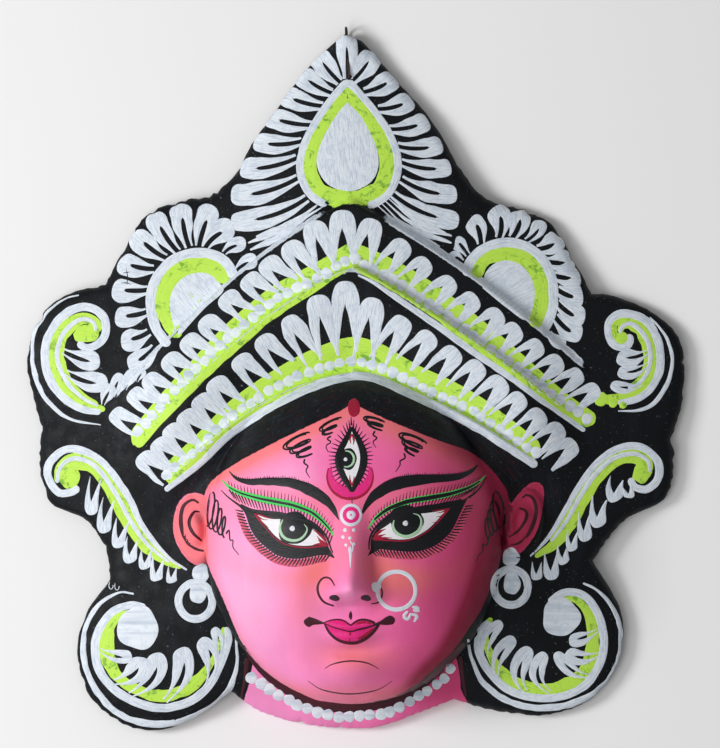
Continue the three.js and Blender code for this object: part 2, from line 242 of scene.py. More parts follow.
def rim_lift(x, y):
    """The rim lies flat, and lifts under the crown's tip, where the wire passes."""
    near = np.hypot(x - TIP[0], (y - TIP[1]) / 1.6)
    return RIM_LIFT * (1 - smooth_step(near, 3, 13))


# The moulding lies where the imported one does: its middle there gives the shift
lowest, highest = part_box("mask_shell")
SHIFT = 0.5 * (np.array(lowest) + np.array(highest))[:2] / MM
SHIFT = SHIFT - 0.5 * (outline.min(axis=0) + outline.max(axis=0))

# The photograph's frame: the camera stands this far off, turned towards the mask's left
# side, and looks at the aim, and a pixel there is this many mm on the rim's plane
CAMERA_DISTANCE = 2500.0
CAMERA_TURN = math.radians(4)
PIXEL = 0.45
FRAME_WIDTH, FRAME_HEIGHT = 720, 748
AIM = np.array([2.25, 3.6])


def seen(x, y, z):
    """Where a place on the mask shows in the photograph, in its pixels."""
    across, turn = x - AIM[0], CAMERA_TURN
    depth = CAMERA_DISTANCE - z * math.cos(turn) - across * math.sin(turn)
    size = CAMERA_DISTANCE / depth / PIXEL
    side = across * math.cos(turn) - z * math.sin(turn)
    return FRAME_WIDTH / 2 + side * size, FRAME_HEIGHT / 2 - (y - AIM[1]) * size


def place(column, row):
    """The place on the mask's front that shows at a pixel, found by repeated correction."""
    x, y = AIM[0] + (column - FRAME_WIDTH / 2) * PIXEL, AIM[1] + (FRAME_HEIGHT / 2 - row) * PIXEL
    for _ in range(7):
        at_column, at_row = seen(x, y, front(x, y))
        x = x + 0.9 * (column - at_column) * PIXEL
        y = y + 0.9 * (at_row - row) * PIXEL
    return x, y


def grid_faces(rows, columns, closed=False):
    """The quads of a grid of vertices, row by row, with its last column joined to its first."""
    index = np.arange(rows * columns).reshape(rows, columns)
    if closed:
        index = np.hstack([index, index[:, :1]])
    quads = np.stack([index[:-1, :-1], index[:-1, 1:], index[1:, 1:], index[1:, :-1]], axis=-1)
    return quads.reshape(-1, 4)


def upright(x, y, step=0.3):
    """The front's outward direction at each place, from its slopes."""
    slope_x = (front(x + step, y) - front(x - step, y)) / (2 * step)
    slope_y = (front(x, y + step) - front(x, y - step)) / (2 * step)
    direction = np.stack([-slope_x, -slope_y, np.ones_like(slope_x)], axis=-1)
    return direction / np.linalg.norm(direction, axis=-1, keepdims=True)


def add_object(name, data):
    """An object of its data, in the scene, at the origin."""
    made = bpy.data.objects.new(name, data)
    bpy.context.scene.collection.objects.link(made)
    return made


def make_piece(name, points, faces, values, material, known=None):
    """A mesh from vertices in mm, faces and named vertex values, with one material.

    Known is a first vertex and the exact normals from it on, where the form gives them.
    """
    mesh = bpy.data.meshes.new(name)
    mesh.from_pydata((points * MM).tolist(), [], [face for part in faces for face in part.tolist()])
    mesh.polygons.foreach_set("use_smooth", np.ones(len(mesh.polygons), bool))
    for key, value in values.items():
        kind = "FLOAT" if value.ndim == 1 else "FLOAT_VECTOR"
        layer = mesh.attributes.new(key, kind, "POINT")
        layer.data.foreach_set("value" if kind == "FLOAT" else "vector", value.ravel())
    mesh.materials.append(material)
    mesh.validate()
    if known is not None:
        normals = np.zeros(len(mesh.vertices) * 3, np.float32)
        mesh.vertex_normals.foreach_get("vector", normals)
        normals = normals.reshape(-1, 3)
        first, directions = known
        normals[first:first + len(directions)] = directions
        mesh.normals_split_custom_set_from_vertices(normals.tolist())
    piece = add_object(name, mesh)
    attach(piece, "root")
    return piece


# Face, neck and ears are painted flesh, inside these closed lines of the photograph
FACE_LINE = [
    (353, 402), (340, 411), (300, 430), (260, 450), (230, 467), (211, 482), (204, 497), (202, 515),
    (203, 540), (208, 565), (219, 590), (228, 611), (238, 635), (247, 651), (262, 668), (280, 682),
    (300, 694), (320, 702), (345, 704), (370, 702.5), (400, 695), (420, 683), (440, 664), (456, 647),
    (470, 627), (482, 608), (492, 584), (500, 562), (505, 540), (509, 515), (508, 495), (502, 483),
    (490, 468), (470, 452), (440, 441), (400, 425), (366, 410),
]
NECK_LINE = [(253, 662), (249, 684), (243, 705), (241, 735), (462, 735), (461, 690), (455, 656), (440, 675),
             (420, 690), (400, 703), (380, 709), (350, 712), (320, 709), (300, 702), (283, 690), (264, 675)]
EAR_LINES = [
    [(207, 497), (197, 493), (186, 495), (177, 506), (173, 525), (176, 542), (185, 557), (196, 565),
     (207, 563)],
    [(503, 517), (512, 503), (522, 490), (534, 482), (543, 487), (543, 505), (538, 528), (528, 545),
     (515, 557), (503, 556)],
]


def inside_distance(column, row, line):
    """How far each place is inside a closed line, in mm: the nearest edge, positive inside."""
    line = spline(line + [line[0]], 4)[:-1]
    nearest = np.full(column.shape, 1e9)
    winding = np.zeros(column.shape, bool)
    for (ax, ay), (bx, by) in zip(line, np.roll(line, -1, axis=0)):
        dx, dy = bx - ax, by - ay
        along = np.clip(((column - ax) * dx + (row - ay) * dy) / (dx * dx + dy * dy + 1e-9), 0, 1)
        reach = np.hypot(column - ax - along * dx, row - ay - along * dy)
        nearest = np.minimum(nearest, reach)
        crosses = (ay > row) != (by > row)
        winding ^= crosses & (column < ax + (row - ay) * dx / (by - ay if by != ay else 1e-9))
    return np.where(winding, nearest, -nearest) * PIXEL


def flesh(x, y, z):
    """Distance inside any line of the flesh, inside the face's and inside an ear's, in mm."""
    column, row = seen(x, y, z)
    face = inside_distance(column, row, FACE_LINE)
    rest = [inside_distance(column, row, line) for line in [NECK_LINE] + EAR_LINES]
    return np.maximum.reduce([face] + rest), face, np.maximum(rest[1], rest[2])


def wall_share(x, y):
    """One on a band's wall, from its crest down to its foot, and nought off it."""
    share = np.zeros_like(x)
    for band in (UPPER, LOWER, HAIR):
        above = y - band_edge(band, x)
        run = np.where(x < band["peak"][0], *WALL_RUN)
        on_wall = smooth_step(above, -0.3, 0.1) * (1 - smooth_step(above, run + 0.1, run + 0.7))
        ends = smooth_step(band_ends(band, x), 0.02, 0.25)
        if band is UPPER:
            ends = ends * smooth_step(np.abs(x - 1), 9, 20)
        share = np.maximum(share, on_wall * ends)
    return share


def node(tree, kind, inputs=None, **settings):
    """A node of a material, with its settings and its inputs, either values or sockets."""
    made = tree.nodes.new(kind)
    for key, value in settings.items():
        setattr(made, key, value)
    for key, value in (inputs or {}).items():
        if isinstance(value, bpy.types.NodeSocket):
            tree.links.new(value, made.inputs[key])
        else:
            made.inputs[key].default_value = value
    return made


def new_material(name):
    """A material with its node tree and its shader."""
    material = bpy.data.materials.new(name)
    material.use_nodes = True
    return material, material.node_tree, material.node_tree.nodes["Principled BSDF"]


def mixed(tree, share, first, second):
    """Two colours mixed by a share."""
    made = node(tree, "ShaderNodeMix", data_type="RGBA")
    for index, value in ((0, share), (6, first), (7, second)):
        if isinstance(value, bpy.types.NodeSocket):
            tree.links.new(value, made.inputs[index])
        else:
            made.inputs[index].default_value = value if index == 0 else (*value, 1)
    return made.outputs[2]


def scaled(tree, value, low, high, to_low=0.0, to_high=1.0):
    """A value brought from one range to another, with an ease between."""
    made = node(tree, "ShaderNodeMapRange", {
        "Value": value, "From Min": low, "From Max": high, "To Min": to_low, "To Max": to_high},
        interpolation_type="SMOOTHSTEP")
    return made.outputs["Result"]


def summed(tree, operation, first, second):
    """Two values put together by a sum of arithmetic."""
    return node(tree, "ShaderNodeMath", {0: first, 1: second}, operation=operation).outputs[0]


def grain(tree, vector, scale, detail=4.0, roughness=0.55, distortion=0.0):
    """Noise of a scale over a vector."""
    return node(tree, "ShaderNodeTexNoise", {
        "Vector": vector, "Scale": scale, "Detail": detail, "Roughness": roughness,
        "Distortion": distortion}).outputs["Fac"]


def linear(red, green, blue):
    """A colour given in 0 to 255 as seen on a screen, made linear for the shader."""
    values = np.array([red, green, blue]) / 255
    return tuple(np.where(values < 0.04045, values / 12.92, ((values + 0.055) / 1.055) ** 2.4).tolist())


# The paper's paints: brushed lamp black with dust, white on the bands' walls, flesh inside the lines,
# maroon brushed along the hair with a painted grey sheen on its ridges, and raw brown paper behind
# and where the edge is torn
LAMP_BLACK = linear(8, 11, 16)
DUST_AND_SHEEN_BLACK = linear(30, 40, 50)
HAIR_MAROON = linear(58, 20, 32)
POSTER_WHITE = linear(226, 233, 242)
RAW_PAPER = linear(139, 118, 92)
DARK_PAPER = linear(92, 76, 60)

paper, tree, shader = new_material("painted moulded paper")
position = node(tree, "ShaderNodeTexCoord").outputs["Object"]
stretched = node(tree, "ShaderNodeMapping", {"Vector": position, "Scale": (1.0, 0.22, 1.0)}).outputs[0]


def value_of(name, output="Fac"):
    """A vertex value of the mesh."""
    return node(tree, "ShaderNodeAttribute", attribute_name=name).outputs[output]


smudge = scaled(tree, grain(tree, stretched, 95, 6), 0.52, 0.78)
speck = scaled(tree, grain(tree, position, 900, 2), 0.66, 0.8)
black = mixed(tree, summed(tree, "MULTIPLY", smudge, 0.45), LAMP_BLACK, DUST_AND_SHEEN_BLACK)
black = mixed(tree, summed(tree, "MULTIPLY", speck, 0.18), black, POSTER_WHITE)
strands = grain(tree, value_of("strand", "Vector"), 1.1, 5, 0.6, 0.8)
hair_streak = scaled(tree, strands, 0.52, 0.72)
hair_share = summed(tree, "MULTIPLY", hair_streak, value_of("hair"))
black = mixed(tree, summed(tree, "MULTIPLY", hair_share, 0.75), black, HAIR_MAROON)
# A painted sheen: bluish grey along the hair's brush ridges, where they would catch the light.
combed_sheen = summed(tree, "MULTIPLY", scaled(tree, strands, 0.5, 0.3), value_of("hair"))
black = mixed(tree, summed(tree, "MULTIPLY", combed_sheen, 0.7), black, DUST_AND_SHEEN_BLACK)
brush = grain(tree, position, 420, 5, 0.6, 0.6)
white_wear = mixed(tree, scaled(tree, brush, 0.4, 0.75), POSTER_WHITE, linear(172, 186, 204))
walls = scaled(tree, summed(tree, "ADD", value_of("wall"), scaled(tree, brush, 0.2, 0.8, -0.2, 0.2)),
               0.35, 0.6)
ground_paint = mixed(tree, walls, black, white_wear)
flesh_tint = value_of("tint", "Color")
wash = scaled(tree, grain(tree, stretched, 60, 4), 0.3, 0.7, 0.93, 1.05)
flesh_paint = node(tree, "ShaderNodeVectorMath", {0: flesh_tint, "Scale": wash}, operation="SCALE").outputs[0]
wobble = scaled(tree, grain(tree, position, 500, 2), 0.2, 0.8, -0.15, 0.15)
flesh_share = scaled(tree, summed(tree, "ADD", value_of("flesh"), wobble), -0.18, 0.18)
painted = mixed(tree, flesh_share, ground_paint, flesh_paint)
layers = grain(tree, position, 70, 8, 0.65, 2.5)
raw = mixed(tree, scaled(tree, layers, 0.35, 0.7), RAW_PAPER, DARK_PAPER)
torn = scaled(tree, grain(tree, position, 240, 5, 0.7), 0.56, 0.64)
bare = value_of("bare")
torn_edge = summed(tree, "MULTIPLY", torn, value_of("edge"))
bare_share = scaled(tree, summed(tree, "ADD", bare, torn_edge), 0.7, 0.95)
finish = mixed(tree, bare_share, painted, raw)
tree.links.new(finish, shader.inputs["Base Color"])
shader.inputs["Specular IOR Level"].default_value = 0.18
gloss = scaled(tree, grain(tree, position, 180, 4), 0.3, 0.7, 0.5, 0.66)
rough = node(tree, "ShaderNodeMix", {0: bare_share, 2: gloss, 3: 0.9}).outputs[0]
tree.links.new(rough, shader.inputs["Roughness"])
pitted = grain(tree, position, 700, 6, 0.6)
coarse = grain(tree, position, 110, 8, 0.7, 1.0)
height = node(tree, "ShaderNodeMix", {0: bare_share, 2: pitted, 3: coarse}).outputs[0]
strength = scaled(tree, bare_share, 0, 1, 0.12, 0.8)
bumped = node(tree, "ShaderNodeBump", {"Height": height, "Strength": strength, "Distance": 0.0012})
tree.links.new(bumped.outputs[0], shader.inputs["Normal"])

PINK = np.array(linear(250, 148, 204))
HOT_PINK = np.array(linear(250, 100, 166))
SALMON = np.array(linear(247, 126, 132))
PALE_PINK = np.array(linear(249, 174, 214))
# Crimson and maroon darken the face's right side and border: partly the paint's own tone, partly painted
# shade.
MAROON = np.array(linear(60, 12, 26))
CRIMSON = np.array(linear(170, 36, 74))
EAR_PINK_AND_SHADE = np.array([linear(250, 126, 136), linear(206, 70, 104)])


# Soft patches on the face: height, middle beside the midline and over the rim's middle, width, length
WARM_PATCHES = [(0.85, 2, -121, 18, 7), (0.5, 0, -137, 30, 4), (0.6, 26, -88, 10, 9), (0.4, -22, -100, 8, 14)]
# The smallest pale patch, on the nose's tip, is a painted highlight.
PALE_PATCHES = [(0.95, -47, -92, 16, 28), (0.5, -25, -42, 12, 7), (0.5, 0, -92, 4, 6)]


def patches(u, y, places):
    """Round soft hills added up."""
    return sum(rise * bump(u - across, y - up, width, length) for rise, across, up, width, length in places)


def flesh_colour(x, y, face, ear):
    """Pink that warms to salmon round the nose, eyes and hairline, and darkens to the right and at its
    border, partly as painted shade.
    """
    u = x - MIDLINE
    low = smooth_step(-y, 36, 62)
    inside = np.maximum(face, 0)
    hairline = 0.95 * np.exp(-(inside / 9) ** 2) * smooth_step(y, -56, -36)
    on_edge = 0.5 * np.exp(-(inside / 3.2) ** 2) * (face > -1)
    socket = np.hypot((np.abs(u) - 29.7) / 25, (y + 67) / 15)
    eye_ring = 0.45 * np.exp(-((socket - 1.25) / 0.42) ** 2)
    nose_sides = 0.6 * bump(np.abs(u) - 15, y + 80, 7, 17)
    warm = np.clip(nose_sides + hairline + eye_ring + on_edge + patches(u, y, WARM_PATCHES), 0, 1)[..., None]
    pale = np.clip(patches(u, y, PALE_PATCHES), 0, 1)[..., None]
    # The pink deepens to hot pink from left to right, partly the paint's own tone and partly painted shade on
    # the side away from the key lamp.
    across = np.clip(smooth_step(u, -44, 42) + 0.5 * bump(u + 3, y + 42, 14, 16), 0, 1)[..., None]
    colour = PINK + (HOT_PINK - PINK) * across
    colour = colour + (SALMON - colour) * warm
    colour = colour + (PALE_PINK - colour) * pale * (1 - 0.6 * warm)
    # The left ear gets the lighter pink and the right ear the darker: partly the paint's own tone, partly
    # painted shade.
    ear_colour = EAR_PINK_AND_SHADE[0] + (EAR_PINK_AND_SHADE[1] - EAR_PINK_AND_SHADE[0]) * across
    colour = colour + (ear_colour - colour) * (ear > 0)[..., None]
    # Painted shade, partly the paint's own darker edge: crimson and maroon on the right side, along the
    # border and at the lower right of the jaw.
    right = smooth_step(u, 13, 58) * (0.75 + 0.25 * low) + 0.4 * bump(u - 30, y + 133, 14, 12)
    border = 1 - smooth_step(np.where(face > -1, face, 99), 0, 2 + 13 * right)
    shade = (np.clip(border, 0, 1) * (0.1 + 0.9 * right) * (0.55 + 0.45 * low))[..., None]
    # A painted shadow: crimson on the nose's right side, away from the key lamp.
    nose_shade = (0.4 * bump(u - 10, y + 78, 4, 20))[..., None]
    right = right[..., None]
    colour = colour + (CRIMSON - colour) * np.clip(right * 0.72 + shade + nose_shade, 0, 1)
    return colour + (MAROON - colour) * np.clip(shade * right * 0.6, 0, 1)


def ellipse_reach(angle, radius):
    """How far the head's ellipse of these radii is from the hub in a direction."""
    direction = np.stack([np.cos(angle), np.sin(angle)], axis=-1) / radius
    offset = (HUB - HEAD_CENTRE) / radius
    a = (direction ** 2).sum(axis=-1)
    b = (direction * offset).sum(axis=-1)
    return (np.sqrt(b * b - a * ((offset ** 2).sum() - 1)) - b) / a


def crossing(band, angle, rise):
    """Distance from the hub to a band's edge, raised by rise of its wall, found by halving."""
    low, high = np.zeros_like(angle), outline_radius(angle)
    for _ in range(40):
        middle = 0.5 * (low + high)
        x = HUB[0] + middle * np.cos(angle)
        run = np.where(x < band["peak"][0], *WALL_RUN)
        inside = HUB[1] + middle * np.sin(angle) < band_edge(band, x) + rise * run
        low = np.where(inside, middle, low)
        high = np.where(inside, high, middle)
    return low


def ceiling(x, y):
    """The hollow side of the crown: its ground and bands, one wall lower and softened."""
    z = ground(x, y) - WALL
    for band in (UPPER, LOWER, HAIR):
        below = band_edge(band, x) - y
        sink = 1 - smooth_step(np.maximum(below, 0) / band["depth"], 0.55, 1)
        z = z + band["step"] * band_ends(band, x) * sink * smooth_step(below, 4, 14)
    return z


# The crown's skin: crown, bands, hair, ears and neck in layered paper, painted in front and raw
# behind, its rim cut by hand and nicked. Nested rings run from the hollow behind the head, over the
# rim, and in along each band's wall to the head's foot.
rng = np.random.default_rng(7)
CROWN_COLUMNS = 660
FOOT_SHARE = 0.985
RING_COUNTS = (34, 5, 18, 5, 20, 5, 14)
CROWDED_TO_RIM = (1.4, 1, 1, 1, 1, 1, 1)
EDGE_BITES = 46
NICK_REACH = 2.2
BACK_RINGS = 20
INNER_RADIUS = HEAD_RADIUS - WALL
fine_angle = np.linspace(0, 2 * math.pi, 4001)
to_tip = math.atan2(TIP[1] - HUB[1], TIP[0] - HUB[0])
dense = np.cumsum(1 + 1.4 * np.exp(-((fine_angle - to_tip) / 0.2) ** 2))
dense = (dense - dense[0]) / (dense[-1] - dense[0])
angle = np.interp(np.linspace(0, 1, CROWN_COLUMNS, endpoint=False), dense, fine_angle)
notches = np.array([math.atan2(lobe[0][1] - HUB[1], lobe[0][0] - HUB[0]) for lobe in LOBES])
for notch in notches % (2 * math.pi):
    angle[np.argmin(np.abs(angle - notch))] = notch
reach = outline_radius(angle)
waves = np.sum([rng.normal() * np.cos(k * angle + rng.uniform(0, 6.28)) for k in range(24, 130, 6)], axis=0)
bites = np.zeros_like(angle)
for _ in range(EDGE_BITES):
    middle, half_width = rng.uniform(0, 2 * math.pi), rng.uniform(0.7, 2.4) / 130
    away = np.abs((angle - middle + math.pi) % (2 * math.pi) - math.pi)
    bites += rng.uniform(0.2, 1.1) * np.exp(-(away / half_width) ** 2)
nicks = 0.15 + 0.09 * np.abs(waves) + bites
foot = ellipse_reach(angle, HEAD_RADIUS * FOOT_SHARE)
inner = ellipse_reach(angle, INNER_RADIUS)
stops = [reach - EDGE_ROUND_WIDTH]
for band, share in ((UPPER, 0.8), (LOWER, 0.6), (HAIR, 0.36)):
    spare = foot + share * (reach - EDGE_ROUND_WIDTH - foot)
    stops.append(np.minimum(crossing(band, angle, 1), spare + 0.6))
    stops.append(np.minimum(crossing(band, angle, 0), spare))
stops.append(foot)
rings = [reach - depth * EDGE_ROUND_WIDTH for depth in 1 - np.cos(np.linspace(0, math.pi / 2, 9)[:-1])]
for start, end, count, power in zip(stops[:-1], stops[1:], RING_COUNTS, CROWDED_TO_RIM):
    rings += [start + (end - start) * t for t in np.linspace(0, 1, count, endpoint=False) ** power]
rings += [foot, foot - 0.8]
front_reach = np.array(rings)
front_x, front_y = HUB[0] + front_reach * np.cos(angle), HUB[1] + front_reach * np.sin(angle)
front_z = front(front_x, front_y) + rim_lift(front_x, front_y)
front_z[-1] -= 0.4
lift = rim_lift(front_x[0], front_y[0])
turn = (outline_radius(angle + 0.02) - outline_radius(angle - 0.02)) / 0.04
inset = WALL * np.minimum(1.7, np.hypot(1, turn / reach))
back_share = np.linspace(0, 1, BACK_RINGS)[1:]
back_reach = np.array([inner, inner + 0.01] + [inner + (reach - inset - inner) * t for t in back_share])
back_x, back_y = HUB[0] + back_reach * np.cos(angle), HUB[1] + back_reach * np.sin(angle)
back_z = np.maximum(ceiling(back_x, back_y), 0.5 + lift)
back_z[0] = front_z[-1] - 3
rim_reach = np.array([reach - inset, reach - inset + 0.3, reach - 0.5, reach, reach])
rim_x, rim_y = HUB[0] + rim_reach * np.cos(angle), HUB[1] + rim_reach * np.sin(angle)
rim_z = lift + np.array([0.4, 0, 0, 0.5, 2.4])[:, None]
depth_in = np.vstack([np.full_like(back_x, 20), np.full_like(rim_x, 0), reach - front_reach])
crown_x = np.vstack([back_x, rim_x, front_x])
crown_y = np.vstack([back_y, rim_y, front_y])
crown_z = np.vstack([back_z, rim_z, front_z])
rows = len(crown_x)
pull = nicks * np.exp(-(depth_in / NICK_REACH) ** 2)
crown_x, crown_y = crown_x - pull * np.cos(angle), crown_y - pull * np.sin(angle)
on_back = len(back_x)
bare_value = np.zeros_like(crown_x)
bare_value[:on_back + 2] = 1
bare_value[on_back + 2] = 0.55
edge_value = np.exp(-(depth_in / 1.5) ** 2) * np.clip(0.1 + 0.5 * bites, 0, 1)
edge_value[:on_back] = 0


def skin_values(x, y, z, bare_share, edge_share):
    """The vertex values that the paper's material reads."""
    all_flesh, face, ear = flesh(x, y, z)
    over = bare_share < 0.5
    in_hair = smooth_step(band_edge(HAIR, x) - y, -1, 2) * smooth_step(y, -75, -45)
    round_head = 8 * np.arctan2(y - HEAD_CENTRE[1], x - HEAD_CENTRE[0])
    return {
        "flesh": np.where(over, all_flesh, -9).ravel(),
        "tint": flesh_colour(x, y, face, ear).reshape(-1, 3),
        "wall": np.where(over, wall_share(x, y), 0).ravel(),
        "hair": in_hair.ravel(),
        "strand": np.stack([round_head, face, 0 * face], -1).reshape(-1, 3),
        "bare": bare_share.ravel(),
        "edge": edge_share.ravel(),
    }


crown_points = np.stack([crown_x + SHIFT[0], crown_y + SHIFT[1], crown_z], axis=-1).reshape(-1, 3)
faces = grid_faces(rows, CROWN_COLUMNS, closed=True)
last_ring = (rows - 1) * CROWN_COLUMNS + np.arange(CROWN_COLUMNS)
first_ring = np.arange(CROWN_COLUMNS)
join = np.stack([last_ring, np.roll(last_ring, -1), np.roll(first_ring, -1), first_ring], axis=-1)
crown_skin = make_piece(
    "crown_skin", crown_points, [faces, join],
    skin_values(crown_x, crown_y, crown_z, bare_value, edge_value), paper,
    ((rows - len(front_x) + 6) * CROWN_COLUMNS, upright(front_x[6:], front_y[6:]).reshape(-1, 3)))
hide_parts("mask_shell")

# The face's skin: the head in the same layered paper, smoothed with clay slip and painted pink.
# Rings run from under the nose out to the head's foot, and again inside it, one wall deeper.
HEAD_COLUMNS = 420
OUTER_ROWS, INNER_ROWS = 150, 44
turns = np.linspace(0, 2 * math.pi, HEAD_COLUMNS, endpoint=False)
pole = np.array([MIDLINE, NOSE_Y + 6])


def rings_round_nose(parts, radius):
    """Rings that shrink from the head's ellipse of these radii to the pole under the nose."""
    x = pole[0] + (HEAD_CENTRE[0] + radius[0] * np.cos(turns) - pole[0]) * parts[:, None]
    y = pole[1] + (HEAD_CENTRE[1] + radius[1] * np.sin(turns) - pole[1]) * parts[:, None]
    return x, y


outward = np.sin(np.linspace(0, math.pi / 2, OUTER_ROWS + 1))[1:]
outer_x, outer_y = rings_round_nose(np.append(outward, 1.012), HEAD_RADIUS * FOOT_SHARE)
outer_z = front(outer_x, outer_y)
outer_z[-1] -= 0.4
inward = np.sin(np.linspace(math.pi / 2, 0, INNER_ROWS + 1))[:-1]
inner_x, inner_y = rings_round_nose(np.append([1, 1], inward), INNER_RADIUS - 0.25)
inner_share = np.hypot((inner_x - HEAD_CENTRE[0]) / INNER_RADIUS[0],
                       (inner_y - HEAD_CENTRE[1]) / INNER_RADIUS[1])
inner_z = HEAD_BASE + (HEAD_HEIGHT - WALL) * np.sqrt(np.maximum(0, 1 - inner_share ** 2))
inner_z = inner_z + np.maximum(0, nose(inner_x - MIDLINE, inner_y) - WALL)
inner_z[0] = ceiling(inner_x[0], inner_y[0]) + 0.4
head_x = np.vstack((outer_x, inner_x))
head_y = np.vstack((outer_y, inner_y))
head_z = np.vstack((outer_z, inner_z))
bare_value = np.zeros_like(head_x)
bare_value[OUTER_ROWS + 1:] = 1
values = skin_values(head_x, head_y, head_z, bare_value, np.zeros_like(head_x))
head_rows = len(head_x)
tips_x, tips_y = np.array([pole[0], pole[0]]), np.array([pole[1], pole[1]])
tips_z = np.array([front(*pole), inner_z[-1].mean()])
tip_values = skin_values(tips_x, tips_y, tips_z, np.array([0.0, 1.0]), np.zeros(2))
head_points = np.stack([head_x, head_y, head_z], axis=-1).reshape(-1, 3)
head_points = np.vstack([head_points, np.stack([tips_x, tips_y, tips_z], axis=-1)])
head_points[:, :2] += SHIFT
faces = grid_faces(head_rows, HEAD_COLUMNS, closed=True)[:, ::-1]
first_ring = np.arange(HEAD_COLUMNS)
last_ring = (head_rows - 1) * HEAD_COLUMNS + first_ring
size = head_rows * HEAD_COLUMNS
front_fan = np.stack([first_ring, np.roll(first_ring, -1), np.full(HEAD_COLUMNS, size)], axis=-1)
back_fan = np.stack([np.roll(last_ring, -1), last_ring, np.full(HEAD_COLUMNS, size + 1)], axis=-1)
values = {key: np.concatenate([value, tip_values[key]]) for key, value in values.items()}
face_skin = make_piece("face_skin", head_points, [faces, front_fan, back_fan], values, paper,
                       (0, upright(outer_x, outer_y).reshape(-1, 3)))
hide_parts("mask_shell")

# Poster paint laid on with a soft brush: each stroke is a thin domed film along its path,
# its edges feathered into the skin. Paths, bends and spacings are in pixels of the photograph,
# and widths and films in mm.
brush_rng = np.random.default_rng(11)
UNDER = 0.05
FEATHER = 0.07
STRIP_POINTS = 25
STRIP_STREAKS = 9
EDGE_LIFT = 0.12
TIP_REACH = 24


def film_lift(edge, film):
    """A film's height over the skin: level, and rounded down under what it lies on at its edge."""
    return film - FEATHER * edge ** 6 - UNDER * edge ** 12


def evenly(points, spacing, rounding=0.0):
    """The same curve with its points an even distance apart, and closer near rounded ends."""
    run = np.append(0, np.cumsum(np.hypot(*np.diff(points, axis=0).T)))
    at = np.linspace(0, run[-1], max(4, int(run[-1] / spacing) + 1))
    if rounding:
        close = rounding * np.array([0.05, 0.2, 0.45, 0.8])
        close = close[close < run[-1] / 2]
        at = np.unique(np.concatenate([at, close, run[-1] - close]))
    return np.stack([np.interp(at, run, points[:, k]) for k in (0, 1)], axis=-1), at


def ragged(at, period, share):
    """A smooth random factor along a stroke, near one."""
    knots = int(at[-1] / period) + 3
    return 1 + share * np.interp(at, np.arange(knots) * period, brush_rng.normal(size=knots))


def to_side(tangent):
    """Unit vectors square to a path's directions."""
    tangent = tangent / np.hypot(*tangent.T)[:, None]
    return np.stack([-tangent[:, 1], tangent[:, 0]], axis=-1)


def film_grid(place_on, lift, along, aside, seed):
    """A film as a grid: its places, heights, brush values and faces."""
    shape = aside.shape
    values = np.stack([np.broadcast_to(along, shape), aside, np.full(shape, seed)], axis=-1)
    lift = np.broadcast_to(lift, shape).ravel()
    return place_on.reshape(-1, 2), lift, values.reshape(-1, 3), [grid_faces(*shape)]


def stroke(path, width, film=0.07, rounded=True, closed=False, wave=0.05, curve=True, spacing=2.6):
    """A ribbon along a curve through the path's points: each cross-section is a low dome."""
    points = spline(list(path) + ([path[0]] if closed else []), 8) if curve else np.array(path, float)
    widths = np.atleast_1d(np.array(width, float)) / PIXEL
    rounding = 0.5 * widths.max() if rounded and not closed else 0
    points, at = evenly(points, spacing, rounding)
    half = 0.5 * np.interp(at / at[-1], np.linspace(0, 1, len(widths)), widths)
    if rounding:
        for run in (at, at[-1] - at):
            inward = np.clip(run / np.maximum(half, 0.1), 0, 1)
            half = half * np.sqrt(np.clip(inward * (2 - inward), 0.0009, 1))
    tangent = np.gradient(points, at, axis=0)
    if closed:
        tangent[0] = tangent[-1] = tangent[0] + tangent[-1]
        points[-1] = points[0]
    across = np.array([-1, -0.87, -0.5, 0, 0.5, 0.87, 1])
    edge = np.where(across < 0, ragged(at, 7, wave)[:, None], ragged(at, 7, wave)[:, None])
    offset = across * half[:, None] * edge
    place_on = points[:, None] + to_side(tangent)[:, None] * offset[..., None]
    lift = film_lift(np.abs(across), film)
    return film_grid(place_on, lift, at[:, None] * PIXEL, offset * PIXEL, brush_rng.uniform(0, 50))


def strip(upper, lower, film):
    """A ribbon between two lines, with a little unevenness across and rounded ends."""
    upper, _ = evenly(spline(upper, 8), 1.0)
    lower, at = evenly(spline(lower, 8), 1.0)
    count = int(at[-1] / 2.6)
    share = np.linspace(0, 1, count)
    upper = np.stack([np.interp(share, np.linspace(0, 1, len(upper)), upper[:, k]) for k in (0, 1)], -1)
    lower = np.stack([np.interp(share, np.linspace(0, 1, len(lower)), lower[:, k]) for k in (0, 1)], -1)
    across = np.linspace(0, 1, STRIP_POINTS)
    along = across * ragged(share * at[-1], 9, 0.02)[:, None]
    from_end = np.clip(np.minimum(share, 1 - share) * at[-1] / 9, 0.02, 1)
    along = 0.5 + (along - 0.5) * np.sqrt(from_end * (2 - from_end))[:, None]
    place_on = upper[:, None] + (lower - upper)[:, None] * along[..., None]
    lift = film_lift(np.abs(2 * across - 1), film)
    run = share[:, None] * at[-1] * PIXEL
    return film_grid(place_on, lift, run, along * STRIP_STREAKS, brush_rng.uniform(0, 50))


